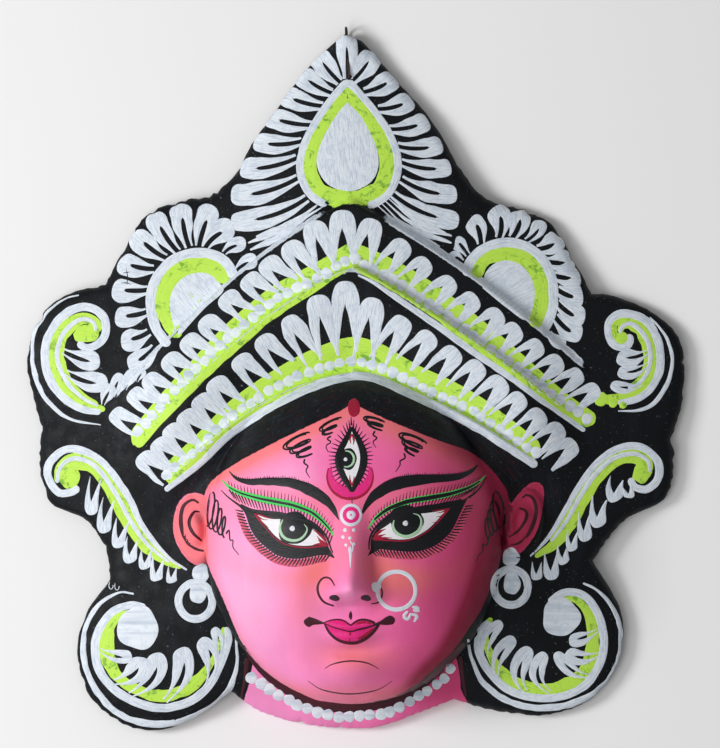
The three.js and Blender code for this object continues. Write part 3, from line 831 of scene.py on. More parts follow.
def petal(tip, foot, width, bend=(0, 0), slit=0.75, gap=0.3, off=0.0, root=0.3, film=0.08, blunt=2.6,
          spread=0.0):
    """A petal in two halves that join above a slit: half-widths grow from the root to the tip."""
    tip, foot, bend = (np.array(value, float) for value in (tip, foot, bend))
    t = np.sin(np.linspace(0, math.pi / 2, 22))
    bow = 0.5 * (tip + foot) + bend
    points = (1 - t)[:, None] ** 2 * foot + 2 * ((1 - t) * t)[:, None] * bow + t[:, None] ** 2 * tip
    normal = to_side(np.gradient(points, t, axis=0))
    length = np.hypot(*(tip - foot))
    grown = root + (1 - root) * smooth_step(t, 0, 0.62)
    end = np.clip((t - 0.7) / 0.3, 0, 1)
    half = 0.5 * width / PIXEL * grown * np.clip(1 - end ** blunt, 0.0004, 1) ** (1 / blunt)
    half = half * ragged(t * length, 9, 0.05)
    opening = 0.5 * gap * width / PIXEL * np.sqrt(np.clip(1 - (t / slit) ** 4, 0, 1))
    opening = np.minimum(opening, 0.5 * half) + spread * half * np.clip(1 - t / slit, 0, 1) ** 1.2
    middle = off * half * (0.4 + 0.6 * t)
    across = np.array([0, 0.1, 0.3, 0.5, 0.7, 0.9, 1])
    seed = brush_rng.uniform(0, 50)
    sides = []
    for edge, inner in ((-half, middle - opening), (half, middle + opening)):
        start, end_at = (edge, inner) if edge[1] < 0 else (inner, edge)
        offset = start[:, None] + (end_at - start)[:, None] * across
        place_on = points[:, None] + normal[:, None] * offset[..., None]
        tuck = across if edge[1] > 0 else 1 - across
        cut = (1 - tuck) * (opening > 0.05)[:, None]
        lift = film_lift(np.maximum(tuck, cut), film)
        sides.append(film_grid(place_on, lift, (t * length * PIXEL)[:, None], offset * PIXEL, seed))
    return sides


def disc(line, film=0.07, rings=None, grain_turn=0.0, coarse=1.0):
    """A filled patch: rings that shrink from a closed line to its middle."""
    line = np.array(line, float)
    middle = line.mean(axis=0)
    reach = np.hypot(*(line - middle).T).max()
    count = rings or max(3, int(reach / 2.6))
    shares = np.append(np.linspace(0, 0.9, count)[1:], [0.97, 1])
    place_on = middle + (line - middle) * shares[:, None, None]
    size = place_on.shape[:2]
    place_on = np.vstack([place_on.reshape(-1, 2), middle])
    edge = np.append(np.repeat(shares, size[1]), 0)
    lift = film_lift(edge ** 1.6, film)
    turned = (place_on - middle) * PIXEL * coarse
    c, s = math.cos(grain_turn), math.sin(grain_turn)
    values = np.stack([turned[:, 0] * c + turned[:, 1] * s, turned[:, 1] * c - turned[:, 0] * s,
                       np.full(len(turned), brush_rng.uniform(0, 50))], axis=-1)
    first = np.arange(size[1])
    fan = np.stack([np.full(size[1], size[0] * size[1]), np.roll(first, -1), first], axis=-1)
    return place_on, lift, values, [grid_faces(*size, closed=True), fan]


def closed_disc(points, film=0.07, turn=0.0, steps=6):
    """A filled patch inside the smooth closed line through the points."""
    return disc(spline(list(points) + [points[0]], steps)[:-1], film, grain_turn=turn)


def arc(centre, across, along, start=0, end=360, count=16):
    """Points on part of an oval, in degrees; a whole one has no point twice."""
    turn = np.radians(np.linspace(start, end, count, endpoint=end - start < 360))
    return np.stack([centre[0] + across * np.cos(turn), centre[1] + along * np.sin(turn)], axis=-1)


def hair(start, tip, width, spacing=2.0, film=0.09):
    """One short straight line of a fine brush."""
    return stroke([start, tip], width, film, rounded=False, curve=False, spacing=spacing)


def dab(centre, across, along=None, turn=0.0, film=0.1, columns=16, rings=3):
    """A round or oval spot, a little uneven."""
    theta = np.linspace(0, 2 * math.pi, columns, endpoint=False)
    half = 0.5 / PIXEL * np.array([across, along or across])
    bumps = 1 + 0.05 * np.cos(3 * theta + brush_rng.uniform(0, 6)) + 0.03 * np.cos(5 * theta)
    local = np.stack([np.cos(theta), np.sin(theta)], axis=-1) * half * bumps[:, None]
    c, s = math.cos(turn), math.sin(turn)
    line = np.array(centre) + local @ np.array([[c, s], [-s, c]])
    return disc(line, film, rings, coarse=0.1)


def painted(name, strokes, material):
    """All strokes of one paint as a mesh laid on the skin, each vertex lifted along its normal."""
    flat = [part for item in strokes for part in (item if isinstance(item, list) else [item])]
    pixels = np.vstack([part[0] for part in flat])
    lift = np.concatenate([part[1] for part in flat])
    values = np.vstack([part[2] for part in flat])
    starts = np.append(0, np.cumsum([len(part[0]) for part in flat]))[:-1]
    faces = [faces + start for part, start in zip(flat, starts) for faces in part[3]]
    x, y = place(pixels[:, 0], pixels[:, 1])
    way = np.arctan2(y - HUB[1], x - HUB[0])
    depth = outline_radius(way) - np.hypot(x - HUB[0], y - HUB[1])
    inward = np.maximum(0, 0.25 - depth)
    x, y, depth = x - inward * np.cos(way), y - inward * np.sin(way), depth + inward
    pulled = np.interp(way, angle, nicks, period=2 * math.pi) * np.exp(-(depth / NICK_REACH) ** 2)
    points = np.stack([x - pulled * np.cos(way) + SHIFT[0], y - pulled * np.sin(way) + SHIFT[1],
                       front(x, y) + rim_lift(x, y)], axis=-1)
    on_round = EDGE_LIFT * np.clip(1 - depth / EDGE_ROUND_WIDTH, 0, 1)
    on_round = on_round + EDGE_LIFT * np.exp(-(np.hypot(x - TIP[0], y - TIP[1]) / TIP_REACH) ** 4)
    points = points + (lift + on_round)[:, None] * upright(x, y)
    return make_piece(name, points, faces, {"stroke": values}, material)


def paint(name, body, thin, patch, streak_share=0.6, patch_share=0.5, patch_from=0.58, roughness=0.5):
    """Poster paint: a body colour, thinner along the bristles' streaks, with patches of another."""
    body, thin, patch = linear(*body), linear(*thin), linear(*patch)
    material, tree, shader = new_material(name)
    shader.inputs["Specular IOR Level"].default_value = 0.3
    run = node(tree, "ShaderNodeAttribute", attribute_name="stroke").outputs["Vector"]
    bristles = node(tree, "ShaderNodeMapping", {"Vector": run, "Scale": (0.16, 1.9, 1.0)}).outputs[0]
    place_on = node(tree, "ShaderNodeTexCoord").outputs["Object"]
    streak = grain(tree, bristles, 1.3, 4, 0.6, 0.3)
    fine = grain(tree, place_on, 1500, 3, 0.6)
    streaked = scaled(tree, streak, 0.42, 0.75)
    colour = mixed(tree, summed(tree, "MULTIPLY", streaked, streak_share), body, thin)
    blotch = scaled(tree, grain(tree, place_on, 210, 6, 0.7, 0.8), patch_from, patch_from + 0.12)
    colour = mixed(tree, summed(tree, "MULTIPLY", blotch, patch_share), colour, patch)
    speckle = scaled(tree, fine, 0.62, 0.75)
    colour = mixed(tree, summed(tree, "MULTIPLY", speckle, 0.25), colour, thin)
    tree.links.new(colour, shader.inputs["Base Color"])
    tree.links.new(scaled(tree, streak, 0.3, 0.7, roughness - 0.06, roughness + 0.1),
                   shader.inputs["Roughness"])
    relief = summed(tree, "ADD", streak, summed(tree, "MULTIPLY", fine, 0.4))
    bumped = node(tree, "ShaderNodeBump", {"Height": relief, "Strength": 0.35, "Distance": 0.0006})
    tree.links.new(bumped.outputs[0], shader.inputs["Normal"])
    return material


white_paint = paint("white poster paint", (228, 235, 243), (158, 174, 196), (190, 204, 220),
                    0.75, 0.5, 0.5)
lime_paint = paint("lime poster paint", (196, 238, 84), (164, 214, 52), (96, 158, 50),
                   0.5, 0.8, 0.53)

# The teardrop on the crown's point and the fan of petals round it
white, lime = [], []
TEARDROP = [(327, 205), (312, 196), (303, 182), (300, 165), (304, 146), (313, 127), (326, 107), (338, 92),
            (347.5, 83), (357, 91), (371, 107), (384, 125), (394, 145), (398, 165), (394, 184), (385, 197),
            (368, 207)]
white.append(stroke(TEARDROP, 3.8))
LIME_DROP = [(347, 93), (334, 106), (322, 124), (313, 142), (309, 160), (311, 178), (321, 192), (335, 197.5),
             (350, 199), (366, 196), (380, 188), (387, 172), (387, 154), (381, 136), (371, 118), (360, 104)]
lime.append(stroke(LIME_DROP, [8.6, 8.2, 8.0, 8.2, 8.4, 8.4, 8.2, 8.6, 8.8, 8.8, 8.4, 8.4], closed=True,
                   film=0.04))
DROP_FILL = [(347, 99), (338, 110), (329, 124), (320, 142), (315, 160), (319, 176), (330, 188), (347, 193),
             (362, 190), (375, 180), (380, 165), (378, 148), (371, 131), (361, 114)]
white.append(closed_disc(DROP_FILL, turn=1.45, steps=5))
FAN = [
    ((347, 35), (348, 79), 10.6, (0, 0)),
    ((317, 53), (340, 82), 11.2, (-2, 3)), ((300, 73), (332, 93), 10.6, (-2, 4)),
    ((282, 93), (323, 106), 10.6, (-2, 5)), ((267, 115), (312, 125), 10.6, (-2, 5)),
    ((254, 141), (302, 141), 11.4, (0, 7)), ((240, 168), (297, 158), 11.6, (0, 8)),
    ((231, 195), (298, 178), 12.0, (2, 10)), ((231, 222), (307, 198), 11.6, (6, 11)),
    ((374, 52), (352, 81), 11.0, (2, 3)), ((395, 77), (364, 92), 10.8, (2, 4)),
    ((412, 99), (378, 109), 10.2, (2, 5)), ((428, 120), (389, 129), 10.2, (2, 6)),
    ((442, 144), (397, 146), 10.6, (0, 7)), ((451, 167), (401, 162), 10.8, (0, 8)),
    ((457, 194), (401, 179), 11.2, (-2, 10)), ((459, 221), (393, 194), 11.2, (-6, 10)),
]
for tip, foot, width, bend in FAN:
    close = 0.93 - 0.05 * (tip[1] > 130)
    white.append(petal(tip, foot, close * width, bend, slit=0.72, gap=0.17, root=0.44, blunt=3.4))
for line in ([(321, 202), (292, 222), (256, 237)], [(317, 206), (288, 227), (248, 243)],
             [(312, 209), (286, 233), (250, 250)], [(324, 206), (300, 221), (276, 238)],
             [(383, 199), (412, 223), (452, 236)], [(381, 203), (408, 227), (452, 243)],
             [(378, 206), (402, 226), (440, 247)], [(388, 198), (414, 219), (446, 233)]):
    white.append(stroke(line, [0.4, 1.0, 2.6, 2.8, 0.8], wave=0.12))

# The two roundels: a white ring, a lime ring and a white boss, with petals round them
ROUNDELS = [
    dict(ring=[(169, 346), (156, 328), (150.5, 304), (155, 281), (170, 262), (192, 253), (214, 255),
               (228, 265), (234, 278)],
         lime=[(180, 337), (169, 322), (163, 303), (167, 284), (180, 270), (198, 265), (215, 268),
               (227, 282)],
         boss=[(177, 340), (170, 324), (168, 303), (173, 287), (185, 275), (199, 271), (212, 274), (222, 284),
               (224, 292), (207, 307), (192, 323)], turn=0.9,
         petals=[((234, 226), (205, 248), (-6, -5)), ((212, 205), (199, 246), (-4, 2)),
                 ((181, 203), (189, 247), (-5, 0)), ((153, 212), (178, 252), (-5, 3)),
                 ((133, 232), (166, 258), (-3, 5)), ((119, 261), (154, 269), (-2, 5)),
                 ((112, 290), (148, 290), (0, 3)), ((115, 317), (147, 312), (0, 4)),
                 ((121, 342), (149, 332), (2, 4)), ((128, 366), (155, 347), (4, 4)),
                 ((246, 243), (224, 253), (-4, -4)), ((257, 259), (236, 271), (-3, -3))]),
    dict(ring=[(466, 276), (470, 262), (482, 250), (498, 243.5), (513, 243), (529, 248), (542, 259),
               (551, 276), (553.5, 295), (551, 315), (542, 332)],
         lime=[(478, 278), (479, 267), (488, 257), (501, 253), (515, 254), (529, 261), (539, 275), (542, 294),
               (540, 312), (533, 327)],
         boss=[(481, 288), (484, 273), (493, 263), (505, 259), (518, 262), (529, 272), (536, 288), (535, 306),
               (527, 322), (508, 310), (493, 298)], turn=-0.5,
         petals=[((453, 260), (462, 262), (-2, -5)), ((455, 242), (468, 255), (-2, -6)),
                 ((470, 219), (481, 244), (4, -5)), ((494, 207), (499, 238), (8, -2)),
                 ((519, 210), (512, 238), (6, 0)), ((541, 220), (526, 241), (5, 3)),
                 ((561, 236), (537, 249), (2, 5)), ((574, 258), (546, 261), (0, 5)),
                 ((580, 275), (553, 275), (0, 4)), ((583, 296), (557, 289), (-1, 5)),
                 ((585, 318), (557, 302), (-2, 5)), ((582, 335), (555, 316), (-3, 5)),
                 ((566, 344), (549, 332), (-4, 4))]),
]
for roundel in ROUNDELS:
    white.append(stroke(roundel["ring"], 4.9))
    lime.append(stroke(roundel["lime"], [6.0, 8.4, 8.2, 8.8, 8.8, 8.0], film=0.04))
    white.append(closed_disc(roundel["boss"], turn=roundel["turn"], steps=5))
    for tip, foot, bend in roundel["petals"]:
        small = np.hypot(tip[0] - foot[0], tip[1] - foot[1]) < 26
        white.append(petal(tip, foot, 7.0 if small else 10.4, bend, slit=0.68, gap=0.15, off=0.12, root=0.4,
                           spread=0.1))

# The two bands: petals that stand on a lime strip, a row of beads over it, and white lines along
# the walls. A foot is how far a petal's root is aside and below its tip, on the left and right.
BANDS = [
    dict(base=[(138, 452), (165, 420), (190, 395), (215, 370), (240, 347), (270, 322), (290, 308), (320, 288),
               (346, 271), (355, 270), (390, 289), (430, 316), (470, 345), (510, 374), (550, 405),
               (587, 430)],
         tips=[(115, 412), (133, 392), (148, 377), (168, 357), (187, 338), (205, 319), (226, 295), (248, 277),
               (267, 260), (290, 243), (314, 222), (342, 211), (370, 218), (400, 239), (422, 258), (447, 277),
               (470, 294), (495, 310), (513, 325), (535, 341), (555, 357), (575, 370), (592, 385)],
         foot=(24, 22, -20, 27), deep=54, strip=(27, 36, 36), beads=(10, 20, 12), width=(10.8, 10.6),
         bow=(-2, 0)),
    dict(base=[(167, 488), (200, 460), (230, 431), (270, 403), (310, 384), (350, 372.5), (380, 376.5),
               (400, 385.5), (420, 395), (450, 408), (480, 424), (500, 437), (520, 450), (537, 461)],
         tips=[(143, 455), (158, 441), (170, 427), (185, 413), (200, 397), (215, 380), (240, 357), (263, 337),
               (290, 317), (318, 296), (345, 282), (371, 297), (399, 315), (426, 331), (451, 347), (475, 361),
               (498, 377), (517, 393), (537, 410), (556, 424), (569, 440)],
         foot=(23, 28, -20, 32), deep=70, strip=(36, 31, 29), beads=(11, 13, 8), width=(11.0, 10.8),
         bow=(-2, 0)),
]
BEAD_PITCH = 10.8
for band in BANDS:
    base = np.array(band["base"], float)
    peak = band["tips"][len(band["tips"]) // 2]
    spread = smooth_step(np.abs(base[:, 0] - peak[0]), 0, 90)
    ends = 1 - 0.25 * smooth_step(np.abs(base[:, 0] - peak[0]), 110, 230)
    far = np.where(base[:, 0] < peak[0], band["strip"][1], band["strip"][2])
    tall = (band["strip"][0] + (far - band["strip"][0]) * spread) * ends
    turned = 0.5 * smooth_step(np.abs(base[:, 0] - peak[0]), 150, 230)
    upper = base + np.stack([np.sign(base[:, 0] - peak[0]) * tall * turned, -tall * (1 - turned)], axis=-1)
    lime.append(strip(upper, base + [0, 1], film=0.09))
    far = np.where(base[:, 0] < peak[0], band["beads"][1], band["beads"][2])
    row = base - np.stack([np.zeros(len(base)), band["beads"][0] + (far - band["beads"][0]) * spread],
                          axis=-1)
    row, _ = evenly(spline(row, 8), BEAD_PITCH)
    heading = np.arctan2(*np.gradient(row, axis=0).T[::-1])
    for place_on, turn in zip(row, heading):
        spot = place_on + brush_rng.normal(size=2) * 0.6
        white.append(dab(spot, brush_rng.uniform(4.7, 5.5), brush_rng.uniform(4.2, 5.4), turn, film=0.19,
                         columns=14))
    for tip in band["tips"]:
        away = abs(tip[0] - peak[0])
        side = np.sign(tip[0] - peak[0])
        centre_share = 1 - smooth_step(away, 0, 60)
        left = side < 0
        lean = (band["foot"][0] if left else band["foot"][2]) * (1 - centre_share)
        drop = (band["foot"][1] if left else band["foot"][3])
        drop = drop + (band["deep"] - drop) * (1 - smooth_step(away, 0, 95))
        drop = drop * (1 - 0.22 * smooth_step(away, 120, 230))
        foot = (tip[0] + 1.1 * lean + 2 * centre_share, tip[1] + drop)
        top = (tip[0] - 0.12 * lean, tip[1] - 1)
        if not left:
            top = (top[0] + 5 * (1 - centre_share), top[1] + 4 * (1 - centre_share))
        width = (band["width"][0] if left else band["width"][1]) * (1 - 0.12 * smooth_step(away, 150, 230))
        width = width * (1 + 0.12 * centre_share)
        bend = (-1.5, 2.5) if left else band["bow"]
        off = -0.06 - 0.16 * (1 - centre_share)
        white.append(petal(top, foot, width, (bend[0] * (1 - centre_share), bend[1] * (1 - centre_share)),
                           slit=0.64, gap=0.12 if left else 0.2, off=off, root=0.86,
                           spread=0.55 if left else 0.5, film=0.15))
HAIR_LINE = [(165, 490.5), (200, 463.5), (230, 434.5), (270, 408), (310, 388), (350, 376.5), (375, 378.5),
             (400, 389.3), (420, 398.5), (450, 413), (480, 429), (500, 442), (520, 455), (537, 466)]
white.append(stroke(HAIR_LINE, [2.4, 3.2, 3.6, 3.8, 3.8, 3.9, 3.9, 3.6], film=0.15))
WALL_LINE = [(358, 275), (375, 283.5), (407, 305), (440, 327.5), (460, 342.5), (480, 356.7), (500, 370.2),
             (520, 384.3), (540, 399.2), (553, 408), (585, 431)]
white.append(stroke(WALL_LINE, [1.0, 2.8, 3.4, 3.2, 3.0, 2.8, 2.2], film=0.07))

# The scrolls on the side lobes: a white C or S with lime inside and a few petals
LEFT_HOOK = dict(
    outer=[(79, 295), (66, 298), (51, 308), (38, 323), (32, 341), (33, 366), (40, 389), (54, 408), (73, 420),
           (101, 425)],
    white=[(78, 342), (85, 347.5), (95, 346), (104, 337), (106, 326), (102, 315), (88, 307), (70, 311),
           (55, 325), (46, 345), (46, 366), (53, 385), (66, 400), (83, 409), (101, 412)],
    lime=[(99, 332), (96, 322), (83, 318), (68, 324), (57, 338), (53, 355), (57, 373), (67, 389), (81, 401),
          (105, 410)], lime_width=[3.2, 4.4, 5.6, 6.4, 6.4, 6.0, 5.6, 5.0, 4.4, 3.0],
    line=[(96, 331), (93, 322), (82, 319), (70, 326), (61, 338), (57, 355), (61, 371), (70, 386), (83, 398),
          (98, 406)],
    blob=[(73, 334), (80, 326), (91, 325), (99, 332), (96, 340), (86, 342), (76, 341)],
    petals=[((100, 361), (63, 351), (2, 6), 9.0), ((108, 382), (66, 372), (0, 8), 9.6),
            ((113, 385), (103, 405), (-3, 1), 6.0), ((122, 374), (113, 397), (-4, 1), 6.0),
            ((135, 371), (125, 390), (-4, 0), 5.4), ((145, 370), (137, 382), (-3, 0), 4.0)])
RIGHT_HOOK = dict(
    outer=[(650, 317), (660, 328), (668, 341), (672.5, 360), (668, 382), (655, 402), (640, 410), (618, 411)],
    white=[(629, 334), (630, 342), (624, 347.5), (614, 344), (608.5, 334), (609.5, 322), (618, 314.5),
           (630, 314.5), (645, 320), (655, 334), (660, 352), (659, 372), (651, 387), (638, 398), (618, 403)],
    lime=[(620, 342), (614.5, 336), (613.5, 326), (620, 321), (632, 321), (645, 330), (653, 345),
          (654.5, 362), (650, 379), (640, 390), (622, 398), (603, 400)], lime_width=[4.0, 3.6, 3.2, 2.6, 2.2,
                                                                                     2.0, 2.4, 4.4, 5.6, 5.6,
                                                                                     4.6],
    line=[(620, 333), (622, 327), (630, 323.5), (640, 330), (648, 343), (650.5, 358), (647, 373), (638, 384),
          (628, 388)],
    blob=[(616, 338), (619, 332), (626, 333), (628, 339), (623, 344), (617, 343)],
    petals=[((617, 357), (649, 351), (0, 8), 7.4), ((618, 371), (648, 364), (0, 9), 6.4),
            ((611, 384), (642, 384), (0, 8), 5.4)])
LEFT_LEAF = dict(
    white=[(79, 487), (71, 492), (60, 493), (51, 484), (47, 471), (54, 457), (68, 449), (86, 452), (103, 463),
           (117, 480), (130, 500), (140, 522), (154, 542), (170, 559), (187, 570)],
    lime=[(64, 482), (63, 470), (80, 464), (95, 470), (107, 484), (118, 503), (129, 523), (145, 545),
          (165, 561), (181, 568)], lime_width=[7.0, 6.6, 5.2, 5.6, 6.4, 7.0, 7.0, 6.2, 4.2, 1.6],
    line=[(57, 483), (60, 468), (71, 459), (87, 461), (100, 471), (111, 486), (122, 505), (133, 525),
          (149, 546), (169, 562)],
    blob=[(58, 480), (62, 469), (72, 465), (80, 474), (77, 485), (67, 489)],
    petals=[((92, 515), (96, 478), (-4, 2), 6.0), ((105, 533), (109, 499), (-5, 3), 6.4),
            ((119, 548), (123, 520), (-4, 3), 6.4), ((131, 563), (133, 538), (-4, 3), 6.0),
            ((146, 569), (147, 549), (-3, 3), 5.6), ((157, 581), (159, 557), (-3, 3), 6.0),
            ((172, 583), (173, 566), (-2, 2), 4.6)])
RIGHT_LEAF = dict(
    white=[(630, 478), (635, 487), (647, 489), (657, 480), (659, 466), (653, 455), (640, 447), (624, 447),
           (609, 454), (594, 467), (578, 489), (564, 513), (548, 538), (529, 557)],
    lime=[(640, 479), (646, 468), (637, 458), (622, 459), (609, 467), (596, 480), (583, 500), (573, 520),
          (558, 541), (535, 557)], lime_width=[7.6, 7.6, 5.4, 5.4, 6.2, 6.8, 6.2, 5.6, 5.0, 2.2],
    line=[(650, 472), (648, 461), (636, 454), (622, 455), (608, 462), (594, 476), (580, 497), (567, 520),
          (551, 542)],
    blob=[(632, 478), (636, 465), (646, 463), (650, 474), (643, 484)],
    petals=[((617, 501), (617, 478), (-5, 2), 7.4), ((629, 498), (626, 484), (2, 2), 5.0),
            ((600, 527), (600, 498), (-5, 2), 7.4), ((587, 541), (585, 512), (-4, 2), 6.2),
            ((573, 551), (573, 530), (-3, 2), 5.6), ((565, 564), (563, 545), (-3, 2), 5.2),
            ((552, 580), (551, 553), (-1, 2), 6.8), ((537, 580), (537, 562), (-1, 2), 5.0)])
LEFT_CURL = dict(
    outer=[(134, 594), (122, 592), (109, 597), (97, 607), (88, 621), (83.5, 640), (84, 662), (92, 683),
           (105, 702), (122, 716), (143, 723), (165, 724), (186, 720), (206, 711), (223, 697), (233, 680),
           (237, 660), (236, 638)],
    white=[(146, 608), (131, 605), (114, 611), (101, 626), (95, 645), (98, 667), (109, 684), (125, 697),
           (144, 705), (163, 708), (184, 704), (201, 694), (214, 678), (223, 658), (228, 640), (226, 627)],
    lime=[(146, 612), (131, 612), (118, 617), (109, 629), (107, 643), (108, 658), (114, 671), (124, 682),
          (139, 691), (158, 696), (178, 693), (195, 683), (208, 668), (217, 651), (222, 636), (224, 627)],
    lime_width=[0.6, 2.2, 4.2, 6.4, 7.6, 6.6, 5.6, 5.6, 5.6, 5.8, 6.4, 6.8, 4.4, 2.6, 2.8, 2.0],
    ball=((138, 628), 18.6, 19.6),
    petals=[((132, 656), (100, 650), (0, 6), 6.6), ((141, 657), (114, 682), (11, 9), 9.8),
            ((155, 653), (130, 695), (20, 6), 9.8), ((180, 648), (165, 701), (19, 0), 9.6),
            ((199, 640), (208, 684), (16, -6), 8.6), ((213, 628), (217, 662), (8, -4), 5.0)])
RIGHT_CURL = dict(
    outer=[(583, 583), (597, 590), (610, 604), (619, 621), (622, 641), (619, 662), (608, 682), (590, 696),
           (566, 705), (540, 708), (516, 704), (496, 694), (480, 678), (471, 656), (468, 639)],
    white=[(549, 603), (557, 596), (567, 592), (578, 593), (589, 600), (598, 614), (603, 632), (603, 651),
           (597, 669), (586, 684), (568, 694), (547, 698), (522, 695), (503, 686), (489, 671), (480, 655),
           (478, 640), (483, 628), (490, 622)],
    lime=[(553, 604), (565, 599), (578, 601), (588, 613), (593, 630), (592, 649), (588, 666), (577, 680),
          (560, 688), (540, 690), (519, 685), (502, 673), (491, 656), (485, 640), (486, 626), (492, 618)],
    lime_width=[0.6, 2.6, 4.4, 5.8, 6.2, 7.2, 7.4, 7.2, 6.8, 6.4, 6.6, 6.0, 4.8, 3.6, 3.6, 2.4],
    ball=((561, 617), 17.0, 17.4),
    petals=[((569, 641), (598, 630), (0, 5), 6.0), ((566, 652), (599, 654), (-2, 10), 7.2),
            ((556, 652), (590, 676), (-4, 12), 6.0), ((546, 653), (550, 692), (-22, 4), 7.4),
            ((531, 648), (526, 692), (-20, 2), 8.2), ((515, 638), (497, 676), (-14, -2), 7.0),
            ((502, 622), (486, 658), (-12, -3), 6.6)])
CURL_WIDTHS = [0.9, 2.2, 2.8, 3.0, 3.2, 3.0, 2.6, 1.0]
HOOK_WIDTHS = [0.6, 1.4, 2.0, 2.2, 1.8, 0.6]
LEAF_WIDTHS = [3.6, 3.8, 3.8, 3.6, 2.8, 1.0]
SCROLL_WIDTHS = [3.6, 4.2, 4.2, 4.2, 3.6]
for scroll in (LEFT_HOOK, RIGHT_HOOK, LEFT_LEAF, RIGHT_LEAF, LEFT_CURL, RIGHT_CURL):
    tapering = "outer" not in scroll
    if not tapering:
        wide = CURL_WIDTHS if "ball" in scroll else HOOK_WIDTHS
        white.append(stroke(scroll["outer"], wide, wave=0.12))
    lime.append(stroke(scroll["lime"], scroll["lime_width"], film=0.05, wave=0.08))
    white.append(stroke(scroll["white"], LEAF_WIDTHS if tapering else SCROLL_WIDTHS))
    if "line" in scroll:
        lime.append(stroke(scroll["line"], [3.0, 5.8, 7.0, 7.0, 6.4, 5.4, 3.4], film=0.05, wave=0.08))
        white.append(stroke(scroll["line"], [1.6, 2.2, 2.2, 2.0, 1.2], film=0.16))
        lime.append(closed_disc(scroll["blob"], film=0.11, steps=4))
    if "ball" in scroll:
        spot, across, along = scroll["ball"]
        white.append(dab(spot, across, along, film=0.16, columns=40, rings=9))
    for tip, foot, bend, width in scroll["petals"]:
        if tapering:
            white.append(petal(tip, foot, width, bend, slit=0.6, gap=0.16, off=0.1, root=0.9, film=0.15,
                               spread=0.7))
        else:
            white.append(petal(tip, foot, width, bend, slit=0.7, gap=0.22, off=0.1, root=0.3, film=0.15))
# A few lime dots where the right hook ends, and a speck
for spot, across in (((601, 399), 6.6), ((613, 403), 4.2), ((623, 405), 3.4), ((590, 462), 0.1)):
    lime.append(dab(spot, across))

# Earrings and the pearls round the neck
for ball, hoop, drop in (((201, 573), (195.5, 601), (198, 592)), ((511, 557), (511, 587), (512, 583))):
    white.append(stroke(arc(hoop, 17, 18), 3.5, closed=True, film=0.15))
    white.append(dab(drop, 7.6, 10.6, film=0.12, columns=24, rings=5))
    white.append(dab(ball, 7.8, 8.4, film=0.2, columns=24, rings=5))
PEARLS = [(253, 677), (262, 684), (272, 691), (284, 698), (304, 707), (325, 714.5), (347, 717), (369, 715),
          (388, 711.5), (406, 703.5), (424, 692.5), (440, 681), (451, 669)]
PEARL_PITCH = 10.4
row, _ = evenly(spline(PEARLS, 8), PEARL_PITCH)
for spot in row:
    spot = spot + brush_rng.normal(size=2) * 0.6
    size = brush_rng.uniform(5.0, 5.6) - 0.6 * (spot[0] > 400)
    white.append(dab(spot, size, film=0.16, columns=14))

# Lime splashed beside the left roundel's boss
SPLASHES = 9
for _ in range(SPLASHES):
    spot = brush_rng.normal((196, 298), (8, 9))
    lime.append(dab(spot, brush_rng.uniform(0.5, 1.5), 0.5, 0.9, film=0.13, columns=10))

painted("lime_paint", lime, lime_paint)
painted("white_paint", white, white_paint)


# The face is drawn over the flesh with a fine brush: brows, lids, lashes, lips and loops of hair,
# each colour one piece of thin strokes
black_line, maroon, magenta, green, eye_white, red = [], [], [], [], [], []
rose, pale_green, bright = [], [], []
black_line_paint = paint("lamp black", (12, 13, 18), (34, 36, 46), (20, 22, 30), 0.4, 0.3, roughness=0.42)
maroon_paint = paint("maroon", (62, 14, 30), (92, 24, 48), (40, 8, 18), 0.45, 0.4)
magenta_paint = paint("magenta", (235, 38, 132), (206, 30, 110), (250, 86, 160), 0.5, 0.4)
crimson_paint = paint("crimson", (160, 14, 50), (190, 40, 76), (120, 10, 36), 0.4, 0.3)
green_paint = paint("leaf green", (62, 206, 92), (112, 222, 120), (44, 150, 66), 0.6, 0.4)
mint_paint = paint("mint", (178, 214, 178), (140, 188, 146), (200, 226, 196), 0.4, 0.3)
eye_paint = paint("eye white", (240, 238, 242), (214, 208, 220), (246, 244, 246), 0.4, 0.4)
rose_paint = paint("rose wash", (214, 74, 110), (236, 140, 160), (196, 50, 90), 0.6, 0.5)
fine_white_paint = paint("fine white", (222, 226, 236), (196, 202, 216), (232, 236, 244), 0.4, 0.3)

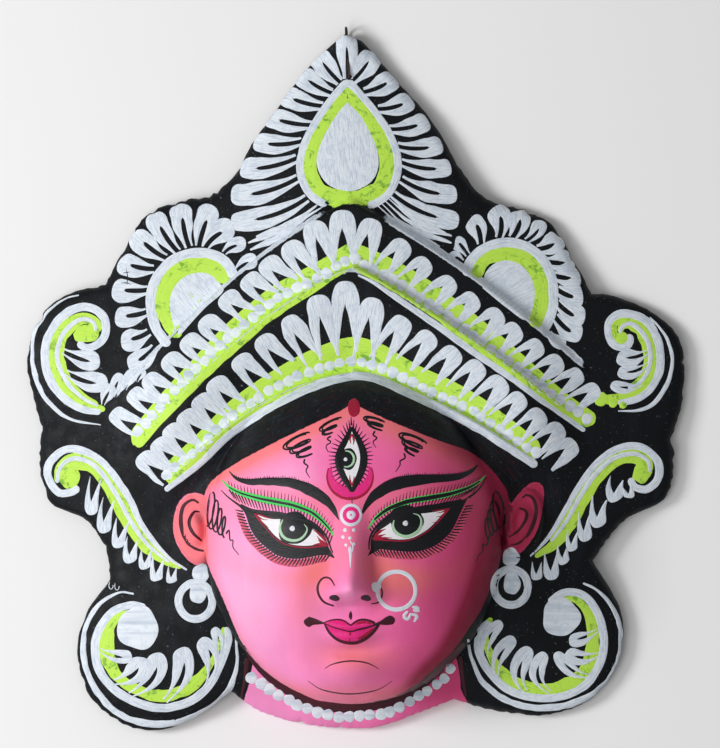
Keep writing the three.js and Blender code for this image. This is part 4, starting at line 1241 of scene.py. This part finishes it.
# Eyes: a wide black shape, the white on it, an iris with a mint ring, a green line over the lid
EYES = [
    dict(side=-1,
         top=[(233, 502), (240, 505), (250, 510), (260, 512), (270, 513), (280, 514), (290, 516.5),
              (300, 519), (308, 521), (315, 525), (322, 531), (327, 538), (330, 546), (333, 553), (336, 559)],
         bottom=[(233, 502), (242, 512), (247, 525), (251, 533), (257, 541), (266, 549), (276, 556),
                 (288, 559.5), (300, 560), (310, 558.5), (320, 556.5), (329, 556.5), (336, 559)],
         white=[(254, 513), (262, 516), (270, 517.5), (283, 518), (300, 521), (312, 527), (320, 532),
                (326, 541), (328, 545.5), (318, 546.5), (308, 547.5), (298, 547), (288, 545), (280, 541.5),
                (272, 535), (265, 527), (258, 519)], rim=8,
         iris=(294.5, 528.5), dot=(292.4, 528.5),
         ring=[(283, 519.5), (280, 527), (281.5, 534), (286, 538.5), (292, 540.5), (298, 540), (303, 537),
               (306.5, 532), (307, 528), (304, 524)],
         red=[[(255, 514), (262, 519), (268, 520)], [(256, 516), (262, 522), (269, 528)],
              [(257, 514), (266, 517), (273, 518)], [(328, 545), (321, 541), (317, 536)],
              [(328, 545), (320, 544), (313, 545)], [(328, 545), (322, 543), (318, 540)],
              [(326, 541), (318, 533), (312, 529)]],
         green=[(222, 480), (229, 487), (238, 492), (250, 496), (262, 499), (275, 501.5), (290, 504.5),
                (300, 507.5), (310, 511.5), (318, 517), (326, 525), (331, 531), (334, 536)],
         tail=[(221, 490), (228, 497), (236, 503), (243, 508)]),
    dict(side=1,
         top=[(473, 494), (462, 500), (455, 502), (445, 504), (435, 506), (420, 508), (410, 510), (400, 511),
              (392, 514), (385, 519), (377, 526), (371, 535), (369, 543), (369, 550), (366, 557)],
         bottom=[(473, 494), (466, 507), (461, 517), (457, 525), (452, 533), (445, 540), (437, 546),
                 (428, 550), (418, 552.5), (408, 553), (396, 552), (385, 551), (377, 550), (371, 551),
                 (366, 557)],
         white=[(450, 508), (436, 510.5), (423, 512), (405, 513), (394, 519), (383, 526.5), (377, 531),
                (373, 537.5), (374, 539.5), (381, 540), (390, 540.5), (400, 541), (410, 540), (418, 537),
                (428, 531), (434, 526), (440, 520), (446, 513)], rim=7,
         iris=(406.5, 521.5), dot=(405.4, 523.3),
         ring=[(394, 520), (393, 526), (395, 531), (400, 535), (406, 536.5), (412, 535), (418, 531),
               (421, 525), (421, 519), (418, 515), (413, 513.5)],
         red=[[(374, 538), (380, 536), (386, 534)], [(374, 539), (383, 538), (392, 538)],
              [(375, 536), (381, 531), (386, 529)], [(449, 509), (442, 512), (436, 513)],
              [(448, 510), (441, 516), (436, 517)], [(445, 514), (438, 521), (432, 523)],
              [(449, 509), (440, 510), (432, 511)]],
         green=[(486, 475), (480, 481), (470, 487), (460, 491), (450, 494), (440, 496), (425, 498.5),
                (410, 501), (400, 504), (390, 508), (382, 513), (374, 520), (368, 529)],
         tail=[(486, 477), (482, 485), (476, 492), (468, 498)]),
]
for eye in EYES:
    black_line.append(closed_disc(eye["top"] + eye["bottom"][-2:0:-1], 0.07, turn=0.2))
    eye_white.append(closed_disc(eye["white"], 0.1, turn=0.1))
    for line in eye["red"]:
        broad = 0.7 if (line[0][0] - eye["iris"][0]) * eye["side"] > 0 else 1.3
        red.append(stroke(line, [broad, broad, 0.2], film=0.13, spacing=1.8))
    red.append(stroke(eye["white"][eye["rim"]:] + [eye["white"][0]], [0.8, 0.5, 0.4], film=0.13))
    black_line.append(dab(eye["iris"], 15.6, 15.0, film=0.16, columns=36, rings=8))
    pale_green.append(stroke(eye["ring"], [0.5, 1.2, 1.4, 1.4, 1.4, 1.2, 0.8, 0.3], film=0.21, spacing=1.8))
    bright.append(dab(eye["dot"], 2.5, film=0.24, columns=12))
    black_line.append(stroke(eye["top"][1:-1], [1.5, 1.8, 1.8, 1.6, 1.1, 0.5], film=0.19))
    black_line.append(stroke(eye["tail"], [0.3, 0.8, 1.2], film=0.1))
    lash_line, _ = evenly(spline(eye["bottom"][1:-1], 8), 3.2)
    along = np.gradient(lash_line, axis=0)
    along /= np.hypot(*along.T)[:, None]
    outward = np.stack([along[:, 1], -along[:, 0]], axis=-1) * eye["side"]
    wash = lash_line + 3.4 * outward
    rose.append(stroke(wash[::3], [2.6, 3.8, 4.0, 4.2, 4.0, 2.6], film=0.03))
    for spot, away, run in zip(lash_line, outward, along):
        tip = spot + (away * 5.8 - run * 4.6) * brush_rng.uniform(0.9, 1.15)
        black_line.append(hair(spot - away, tip, [0.85, 0.45]))
    # Painted shade: on the right eye, away from the key lamp, the green line is narrower and the black line
    # wider.
    shade_narrowing = 0.8 if eye["side"] > 0 else 1.0
    widths = shade_narrowing * np.array([0.4, 1.7, 2.4, 3.2, 3.5, 3.6, 3.4, 3.2, 2.8, 2.0, 0.6])
    green.append(stroke(eye["green"], widths, film=0.1))
    widths = np.array([0.4, 0.8, 1.0, 1.3, 1.3, 1.3, 1.2, 1.0, 0.5]) / shade_narrowing ** 2
    black_line.append(stroke(eye["green"][1:-1], widths, film=0.14))
    lid, _ = evenly(spline(eye["green"], 8), 3.4)
    lid_top = np.array(eye["top"][::-eye["side"]])
    for number, spot in enumerate(lid[3:-1]):
        fan = (spot[0] - eye["iris"][0]) / 40
        share = math.sin(math.pi * (number + 4) / len(lid))
        start = spot + np.array([0, -2.6])
        tip = start + np.array([1.2 * fan + 0.8, -2.0 - 5.5 * share])
        maroon.append(hair(start, tip, [0.55, 0.2], 2.2, 0.07))
        start = spot + np.array([0, 2.4])
        low = np.interp(spot[0] - 1.5 * fan, lid_top[:, 0], lid_top[:, 1]) - 1.6
        if low - start[1] > 1.5:
            tip = (start[0] - 3.2 * fan, min(low, start[1] + 9.0))
            black_line.append(hair(start, tip, [0.75, 0.4], 2.2, 0.07))

# The third eye, upright over a magenta crescent with a crimson edge
crescent = arc((350, 476), 23, 23, -20, 200, 24)
inside = arc((350, 470), 18, 16, -20, 200, 24)
magenta.append(strip(inside[::-1], crescent[::-1], film=0.1))
red.append(stroke(crescent, [0.5, 1.2, 1.3, 1.2, 0.5], film=0.14, curve=False))
ALMOND_LEFT = [(351.5, 427), (346, 440), (340.5, 450), (338.5, 459), (341, 471), (352, 492)]
ALMOND_RIGHT = [(351.5, 427), (358.5, 440), (362.5, 450), (363.5, 460), (361, 472), (352, 492)]
eye_white.append(closed_disc(ALMOND_LEFT + ALMOND_RIGHT[-2:0:-1], 0.13, turn=1.5))
for line in ([(351.5, 434), (350, 439), (351, 444)], [(352, 434), (354, 440), (353, 445)],
             [(352, 486), (350, 480), (350, 475)], [(352, 486), (354, 480), (354, 476)]):
    red.append(stroke(line, [1.0, 1.2, 0.3], film=0.16, spacing=1.8))
black_line.append(dab((347, 459), 9.6, 10.2, film=0.19, columns=26, rings=5))
pale_green.append(stroke(arc((346.5, 459), 7.6, 8, -100, 110), [0.5, 1.1, 1.1, 0.5], film=0.24, spacing=1.8))
bright.append(dab((345.6, 459.5), 1.8, film=0.26, columns=10))
for side in (ALMOND_LEFT, ALMOND_RIGHT):
    black_line.append(stroke(side, [1.4, 2.6, 3.2, 3.3, 2.9, 1.6], film=0.22))
for side, length in ((ALMOND_LEFT, 8.0), (ALMOND_RIGHT, 6.6)):
    edge, _ = evenly(spline(side, 8), 3.1)
    for spot in edge:
        away = spot - np.array([352, 458 + (spot[1] - 458) * 0.6])
        away = away / max(np.hypot(*away), 1e-6)
        start = spot + away * 1.5
        tip = start + away * (length + 1.5) * brush_rng.uniform(0.85, 1.1)
        black_line.append(hair(start, tip, [0.9, 0.25]))

# The mark between the brows, with curls and a drop that runs down the nose
for radius, width, kind in ((9.5, 1.7, bright), (7.0, 2.0, magenta)):
    kind.append(stroke(arc((351, 515), radius, radius, count=20), width, closed=True, film=0.15, spacing=1.8))
bright.append(dab((351, 515), 4.0, film=0.17, columns=16))
magenta.append(dab((351, 515), 1.0, film=0.2, columns=10))
DOTS = [((345, 530), 1.8), ((354, 530), 1.8), ((343, 537), 1.6), ((350, 538), 1.7), ((354, 544), 1.6),
        ((346, 545), 1.5)]
for spot, size in DOTS:
    bright.append(dab(spot, size, film=0.15, columns=10))
bright.append(stroke([(350, 541), (353, 546), (352, 552), (350, 546)],
                     [0.6, 0.7, 0.6], film=0.16, spacing=1.6))
bright.append(stroke([(350, 547), (350.5, 556), (350.5, 568)], [1.8, 1.2, 0.3], film=0.14, spacing=1.8))

# Brows: one full stroke each, with short hairs along the upper edge
BROWS = [([(229, 471), (234.5, 477), (240, 480), (250, 482), (262, 481.5), (275, 481.5), (288, 482.3),
           (298, 484.7), (308, 489), (318, 494.5), (327, 501.5), (333, 509), (339, 520)],
          [0.4, 1.7, 2.9, 3.6, 3.9, 4.2, 4.8, 5.4, 5.3, 4.5, 3.0, 0.4]),
         ([(478, 465), (470, 472), (460, 476), (448, 478), (430, 479), (412, 480.5), (400, 482.5), (390, 486),
           (380, 491.5), (372, 498), (366, 506), (362, 514)],
          [0.8, 2.4, 3.4, 3.9, 4.4, 5.1, 5.8, 6.2, 5.8, 4.8, 3.2, 1.0])]
for line, width in BROWS:
    black_line.append(stroke(line, width))
    hairs, at = evenly(spline(line, 8), 2.2)
    half = 0.5 * np.interp(at / at[-1], np.linspace(0, 1, len(width)), width) / PIXEL
    for spot, rise in zip(hairs[4:-6], half[4:-6]):
        root = spot + [0, 1.2 - rise]
        lean = brush_rng.uniform(-0.9, 0.3) * np.sign(line[-1][0] - line[0][0])
        tip = root + [lean, -2.4 * brush_rng.uniform(0.6, 1.2)]
        black_line.append(hair(root, tip, [0.5, 0.2], 1.6, 0.07))

# Nose, lips, chin lines and the painted nose ring
for centre in ((334.5, 598), (366, 598)):
    black_line.append(dab(centre, 4.8, 2.8, 0.15, film=0.12, columns=16))
maroon.append(stroke([(335, 586), (330, 578.5), (323, 578), (318, 585), (318.5, 594), (324, 602), (334, 606)],
                     [0.6, 1.0, 1.2, 1.2, 0.8]))
maroon.append(stroke([(374, 584), (381, 588), (382, 595), (379, 602), (371, 604)], [0.5, 0.9, 1.0, 0.5]))
maroon.append(stroke([(350.8, 611), (350.5, 616), (351, 620)], [0.3, 1.5, 1.7, 0.5], film=0.14))
LIPS = [(324, 622.5), (330, 620.5), (337, 619.5), (343, 620.5), (347, 623), (350.5, 625.5), (354, 623),
        (358.5, 620.5), (364, 619.8), (370, 621), (375, 623.5), (379, 623.5), (374, 631), (367, 637.5),
        (359, 641.8), (352, 643), (344, 642), (336, 638.5), (329, 632)]
magenta.append(closed_disc(LIPS, 0.12, turn=1.5))
# Crimson on the lips: the two strokes on the right half are partly the lips' own crimson and partly painted
# shade, away from the key lamp; the third runs down the lower lip's middle.
for line, width in (([(356, 624), (363, 622.5), (371, 623.5)], [1.0, 1.9, 0.8]),
                    ([(358, 639), (366, 634.5), (373, 628.5)], [0.8, 2.2, 1.2]),
                    ([(350.5, 630), (350, 634), (349.5, 641)], [1.7, 1.0, 0.8])):
    red.append(stroke(line, width, film=0.135))
maroon.append(stroke(LIPS[:11], [0.5, 0.7, 0.8, 0.9, 1.1, 1.2, 1.3], film=0.15))
maroon.append(stroke(LIPS[11:] + LIPS[:1], [1.5, 1.7, 1.7, 1.6, 1.4, 1.2, 0.8], film=0.15))
maroon.append(stroke([(326, 624), (333, 627), (342, 629.5), (350.5, 631.5), (358, 629.5), (367, 627.5),
                      (377, 624)],
                     [0.5, 0.7, 0.7, 0.9, 1.1, 1.0, 0.9], film=0.16))
for line in ([(309, 616.5), (315, 618.5), (322, 621.5), (325, 623.5), (318, 624.5), (313, 625), (309, 627),
              (305, 624.5), (304, 620.5)],
             [(375, 623.5), (381, 620.5), (385, 617.5), (390, 615.5), (394, 617.5), (395, 620.5), (393, 624),
              (388, 625), (382, 624.8)]):
    maroon.append(closed_disc(line, 0.16))
maroon.append(stroke([(325, 668.5), (333, 664), (350, 661), (367, 663), (379, 669)],
                     [0.3, 0.7, 0.8, 0.7, 0.3]))
maroon.append(stroke([(308, 681), (323, 690), (350, 694), (377, 690), (392, 681)], [0.2, 0.6, 0.7, 0.6, 0.2]))
bright.append(stroke(arc((396.5, 590.5), 19, 19, count=28), 1.9, closed=True, film=0.16))
bright.append(dab((376, 587), 4.4, 4.6, film=0.3, columns=16))
for line in ([(408, 611), (404, 616), (408, 619), (411, 613)], [(412, 607), (418, 608), (418, 612)],
             [(411, 614), (417, 616), (414, 622)], [(413, 610), (420, 611)]):
    bright.append(stroke(line, [1.0, 1.7, 0.9], film=0.15, spacing=1.8))

# Loops of hair on the brow and beside the ears: a coil carried along a line, with a wavy tail
LOCKS = [
    ((330, 423), (328, 434), 13, 5, 2, -24, [(331, 436), (327, 439), (331, 442), (326, 446), (328, 452)]),
    ((295, 439.5), (306, 456), 16.5, 7, 3, -24, [(305, 459), (304, 463), (308, 466), (306, 471), (310, 478)]),
    ((373, 419), (376, 428), 12, 7, 2, 18, [(375, 431), (373, 435), (377, 438), (373, 442), (376, 448)]),
    ((412, 437.5), (410.5, 454), 16, 5, 3, 24, [(404, 453), (405, 458), (400, 461), (400, 465),
                                                (395.5, 472)]),
    ((208.5, 507), (225.5, 529), 19.5, 9, 4, 96,
     [(226, 534), (229, 530), (230, 540), (233, 540), (233, 547), (239, 555)]),
    ((500, 506), (487, 531), 19, 9, 4, 80,
     [(490, 534), (487, 545), (483, 544), (483, 551), (479, 555), (476, 562)]),
]
for start, end, long, short, loops, lean, tail in LOCKS:
    t = np.linspace(0, 1, loops * 18)
    turn = 2 * math.pi * loops * t + 0.5 * math.pi
    start, end = np.array(start), np.array(end)
    across = np.array([math.cos(math.radians(lean)), math.sin(math.radians(lean))])
    beside = np.array([-across[1], across[0]])
    for part in ((1.0, 0.76) if loops < 4 else (1.0,)):
        size = part * (long + (short - long) * t)
        line = start + (end - start) * t[:, None] + beside * (0.24 * size * np.cos(turn))[:, None]
        line = line + across * (size * np.sin(turn))[:, None]
        black_line.append(stroke(line, [0.9, 1.0, 0.8, 1.0, 0.9], curve=False,
                                 spacing=1.8))
    black_line.append(stroke(tail, [0.9, 0.7, 0.3], spacing=1.8))

# Ears, the dark contour under the chin and down the neck's sides, partly a painted line and partly
# painted shadow under the jaw, and the red spot at the parting
maroon.append(stroke([(204, 551), (196, 549), (187, 542), (181, 524), (183, 507), (192, 500), (199, 503)],
                     [1.0, 1.8, 2.0, 1.7, 0.9]))
maroon.append(stroke([(202, 541), (193, 533), (189, 522), (194, 512), (200, 512)], [0.9, 1.7, 1.6, 0.8]))
maroon.append(stroke([(510, 545), (519, 543), (529, 533), (536, 515), (534, 500), (527, 495), (522, 498)],
                     [0.7, 1.6, 1.9, 2.0, 1.6, 0.8]))
maroon.append(stroke([(509, 537), (518, 531), (526, 519), (526, 511), (519, 508)], [0.6, 1.4, 1.8, 0.9]))
CHIN_LINE_AND_SHADOW = [(243, 645), (250, 657), (262, 671), (280, 685.5), (300, 698), (320, 705.5), (350, 708),
           (380, 704.8), (400, 699), (420, 687), (440, 669), (456, 653), (464, 643)]
maroon.append(stroke(CHIN_LINE_AND_SHADOW, [1.0, 3.0, 3.8, 4.2, 4.4, 4.4, 4.2, 4.0, 3.8, 2.0], film=0.12))
maroon.append(stroke([(247, 658), (245, 680), (241, 698)], [2.4, 1.8, 0.8]))
maroon.append(stroke([(460, 656), (463, 680), (466, 696)], [2.0, 1.6, 1.0]))
PARTING = [(355, 398), (359, 402.5), (360, 408), (359, 413.5), (355, 416.8), (351, 416), (348.5, 412),
           (348, 406), (350, 400.5)]
red.append(closed_disc(PARTING, 0.16))

# Small marks: a black spot that paints the wire's hole as its dark shadow, the skin having no opening
# there, cracks over a petal, a nick, and two loops left by the brush
black_line.append(dab((349, 77), 2.7, film=0.16, columns=14))
black_line.append(dab((327, 203), 2.2, 1.4, 0.5, film=0.14, columns=12))
for line in ([(126, 268), (127.5, 276), (127, 285)], [(121, 283), (127, 283), (131, 284.5)],
             [(123, 273), (130, 272)]):
    black_line.append(stroke(line, [0.2, 0.5, 0.2], film=0.12, spacing=1.6))
for centre in ((111, 585), (117, 586)):
    bright.append(stroke(arc(centre, 2.2, 4.2, count=28)[:18], 0.35, spacing=1.6))

for name, strokes, material in (
        ("rose_wash", rose, rose_paint), ("eye_whites", eye_white, eye_paint),
        ("crimson_line", red, crimson_paint), ("magenta_paint", magenta, magenta_paint),
        ("maroon_line", maroon, maroon_paint), ("green_line", green, green_paint),
        ("black_line", black_line, black_line_paint), ("mint_rings", pale_green, mint_paint),
        ("fine_white_line", bright, fine_white_paint)):
    painted(name, strokes, material)

# The hanging wire: a thin iron wire, rusty brown, drawn through the hole and over the crown's
# point, and back under the rim, where its two ends are twisted together by hand


def tube(points, radius, sides=10):
    """Rings of a given radius round a curve, and its two ends, each closed to a point."""
    tangent = np.gradient(points, axis=0)
    tangent /= np.linalg.norm(tangent, axis=1)[:, None]
    first = np.cross(tangent, (1.0, 0, 0))
    first /= np.linalg.norm(first, axis=1)[:, None]
    second = np.cross(tangent, first)
    theta = np.linspace(0, 2 * math.pi, sides, endpoint=False)[:, None]
    rings = points[:, None] + radius * (np.cos(theta) * first[:, None] + np.sin(theta) * second[:, None])
    count, ring = len(points), np.arange(sides)
    ends = [np.stack([ring, np.roll(ring, -1), np.full(sides, count * sides)], axis=-1)[:, ::-1],
            np.stack([ring, np.roll(ring, -1), np.full(sides, count * sides + 1)], axis=-1)]
    ends[1][:, :2] += (count - 1) * sides
    vertices = np.vstack([rings.reshape(-1, 3), points[:1], points[-1:]])
    return vertices, [grid_faces(count, sides, closed=True)] + ends


WIRE_RADIUS = 0.5
WIRE_CLEARANCE = 0.35
OVER = WIRE_RADIUS + 2 * WIRE_CLEARANCE
TWIST_RADIUS = 0.75
TAIL_LENGTH = 9
TAIL_HEIGHT = WIRE_RADIUS + 2.6


def over_front(y):
    """The wire's middle where it lies over the front, on the line from the hole to the tip."""
    x = HOLE[0] + (TIP[0] - HOLE[0]) * (y - HOLE[1]) / (TIP[1] - HOLE[1])
    return x, y, float(ground(np.array(x), np.array(min(y, TIP[1] - 0.2)))) + OVER


def twisted(half_turn):
    """One of the two ends behind the hole: a screw of one and a half turns."""
    along = np.linspace(0, 1, 10)
    turn = 3 * math.pi * along + half_turn
    x, z = HOLE[0] + TWIST_RADIUS * np.cos(turn), TAIL_HEIGHT + TWIST_RADIUS * np.sin(turn)
    return np.stack([x, HOLE[1] - 1.5 - TAIL_LENGTH * along, z], axis=-1)


top = over_front(HOLE[1])[2]
wire_path = np.vstack([
    twisted(0)[::-1], (HOLE[0], HOLE[1], top - 3), (HOLE[0], HOLE[1] + 0.3, top - 0.2),
    over_front(HOLE[1] + 2.5), over_front(HOLE[1] + 7), over_front(HOLE[1] + 12), over_front(TIP[1] - 4),
    (TIP[0], TIP[1] + OVER + 0.4, EDGE + RIM_LIFT), (TIP[0], TIP[1] + OVER, 2.85), (TIP[0], TIP[1] - 2, OVER),
    (TIP[0], TIP[1] - 8, OVER), (HOLE[0] - 0.8, HOLE[1] + 4, 1.8), twisted(math.pi)])
vertices, faces = tube(spline(wire_path, 7) + np.append(SHIFT, 0), WIRE_RADIUS)
iron, tree, shader = new_material("rusty iron wire")
position = node(tree, "ShaderNodeTexCoord").outputs["Object"]
rust = scaled(tree, grain(tree, position, 900, 5, 0.7), 0.42, 0.62)
tree.links.new(mixed(tree, rust, linear(34, 25, 24), linear(84, 50, 34)), shader.inputs["Base Color"])
tree.links.new(scaled(tree, rust, 0, 1, 0.45, 0.8), shader.inputs["Roughness"])
shader.inputs["Metallic"].default_value = 0.35
bumped = node(tree, "ShaderNodeBump", {"Height": rust, "Strength": 0.4, "Distance": 0.0002})
tree.links.new(bumped.outputs[0], shader.inputs["Normal"])
wire = make_piece("wire_round", vertices, faces, {}, iron)
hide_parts("hanging_wire")

# A pale floor, a hard key lamp from the mask's left, two soft fills, and the photograph's camera


def plain(name, color, roughness):
    """A material of one colour."""
    material, _, shader = new_material(name)
    shader.inputs["Base Color"].default_value = (*color, 1)
    shader.inputs["Roughness"].default_value = roughness
    return material


floor_mesh = bpy.data.meshes.new("floor")
FLOOR_HALF = 3
corners = [(-FLOOR_HALF, -FLOOR_HALF, 0), (FLOOR_HALF, -FLOOR_HALF, 0), (FLOOR_HALF, FLOOR_HALF, 0),
           (-FLOOR_HALF, FLOOR_HALF, 0)]
floor_mesh.from_pydata(corners, [], [(0, 1, 2, 3)])
floor = add_object("floor", floor_mesh)
floor_mesh.materials.append(plain("pale floor", (0.9, 0.9, 0.9), 0.9))
camera_data = bpy.data.cameras.new("camera")
camera = add_object("camera", camera_data)
SENSOR_WIDTH = 36
camera_data.sensor_width = SENSOR_WIDTH
camera_data.lens = SENSOR_WIDTH * CAMERA_DISTANCE / (FRAME_HEIGHT * PIXEL)
camera_data.clip_end = 10
camera.rotation_euler = (0, CAMERA_TURN, 0)
stand = np.append(AIM + SHIFT, 0) * MM
reach_out = CAMERA_DISTANCE * MM
camera.location = stand + reach_out * np.array([math.sin(CAMERA_TURN), 0, math.cos(CAMERA_TURN)])
bpy.context.scene.camera = camera


def area_light(name, azimuth, elevation, distance, size, power):
    """A square lamp over the mask, turned to its middle."""
    data = bpy.data.lights.new(name, "AREA")
    data.energy = power
    data.size = size
    lamp = add_object(name, data)
    a, e = math.radians(azimuth), math.radians(elevation)
    lamp.location = (distance * math.cos(e) * math.cos(a), distance * math.cos(e) * math.sin(a),
                     distance * math.sin(e))
    lamp.rotation_euler = (math.pi / 2 - e, 0, a + math.pi / 2)


area_light("key", 176, 40, 1.6, 0.5, 15.6)
area_light("low fill", 218, 58, 1.8, 1.0, 8)
area_light("top fill", 80, 78, 2.0, 1.4, 3)
world = bpy.data.worlds.new("studio")
bpy.context.scene.world = world
world.use_nodes = True
world.node_tree.nodes["Background"].inputs["Color"].default_value = (1, 1, 1, 1)
world.node_tree.nodes["Background"].inputs["Strength"].default_value = 0.25
bpy.context.scene.view_settings.view_transform = "Standard"
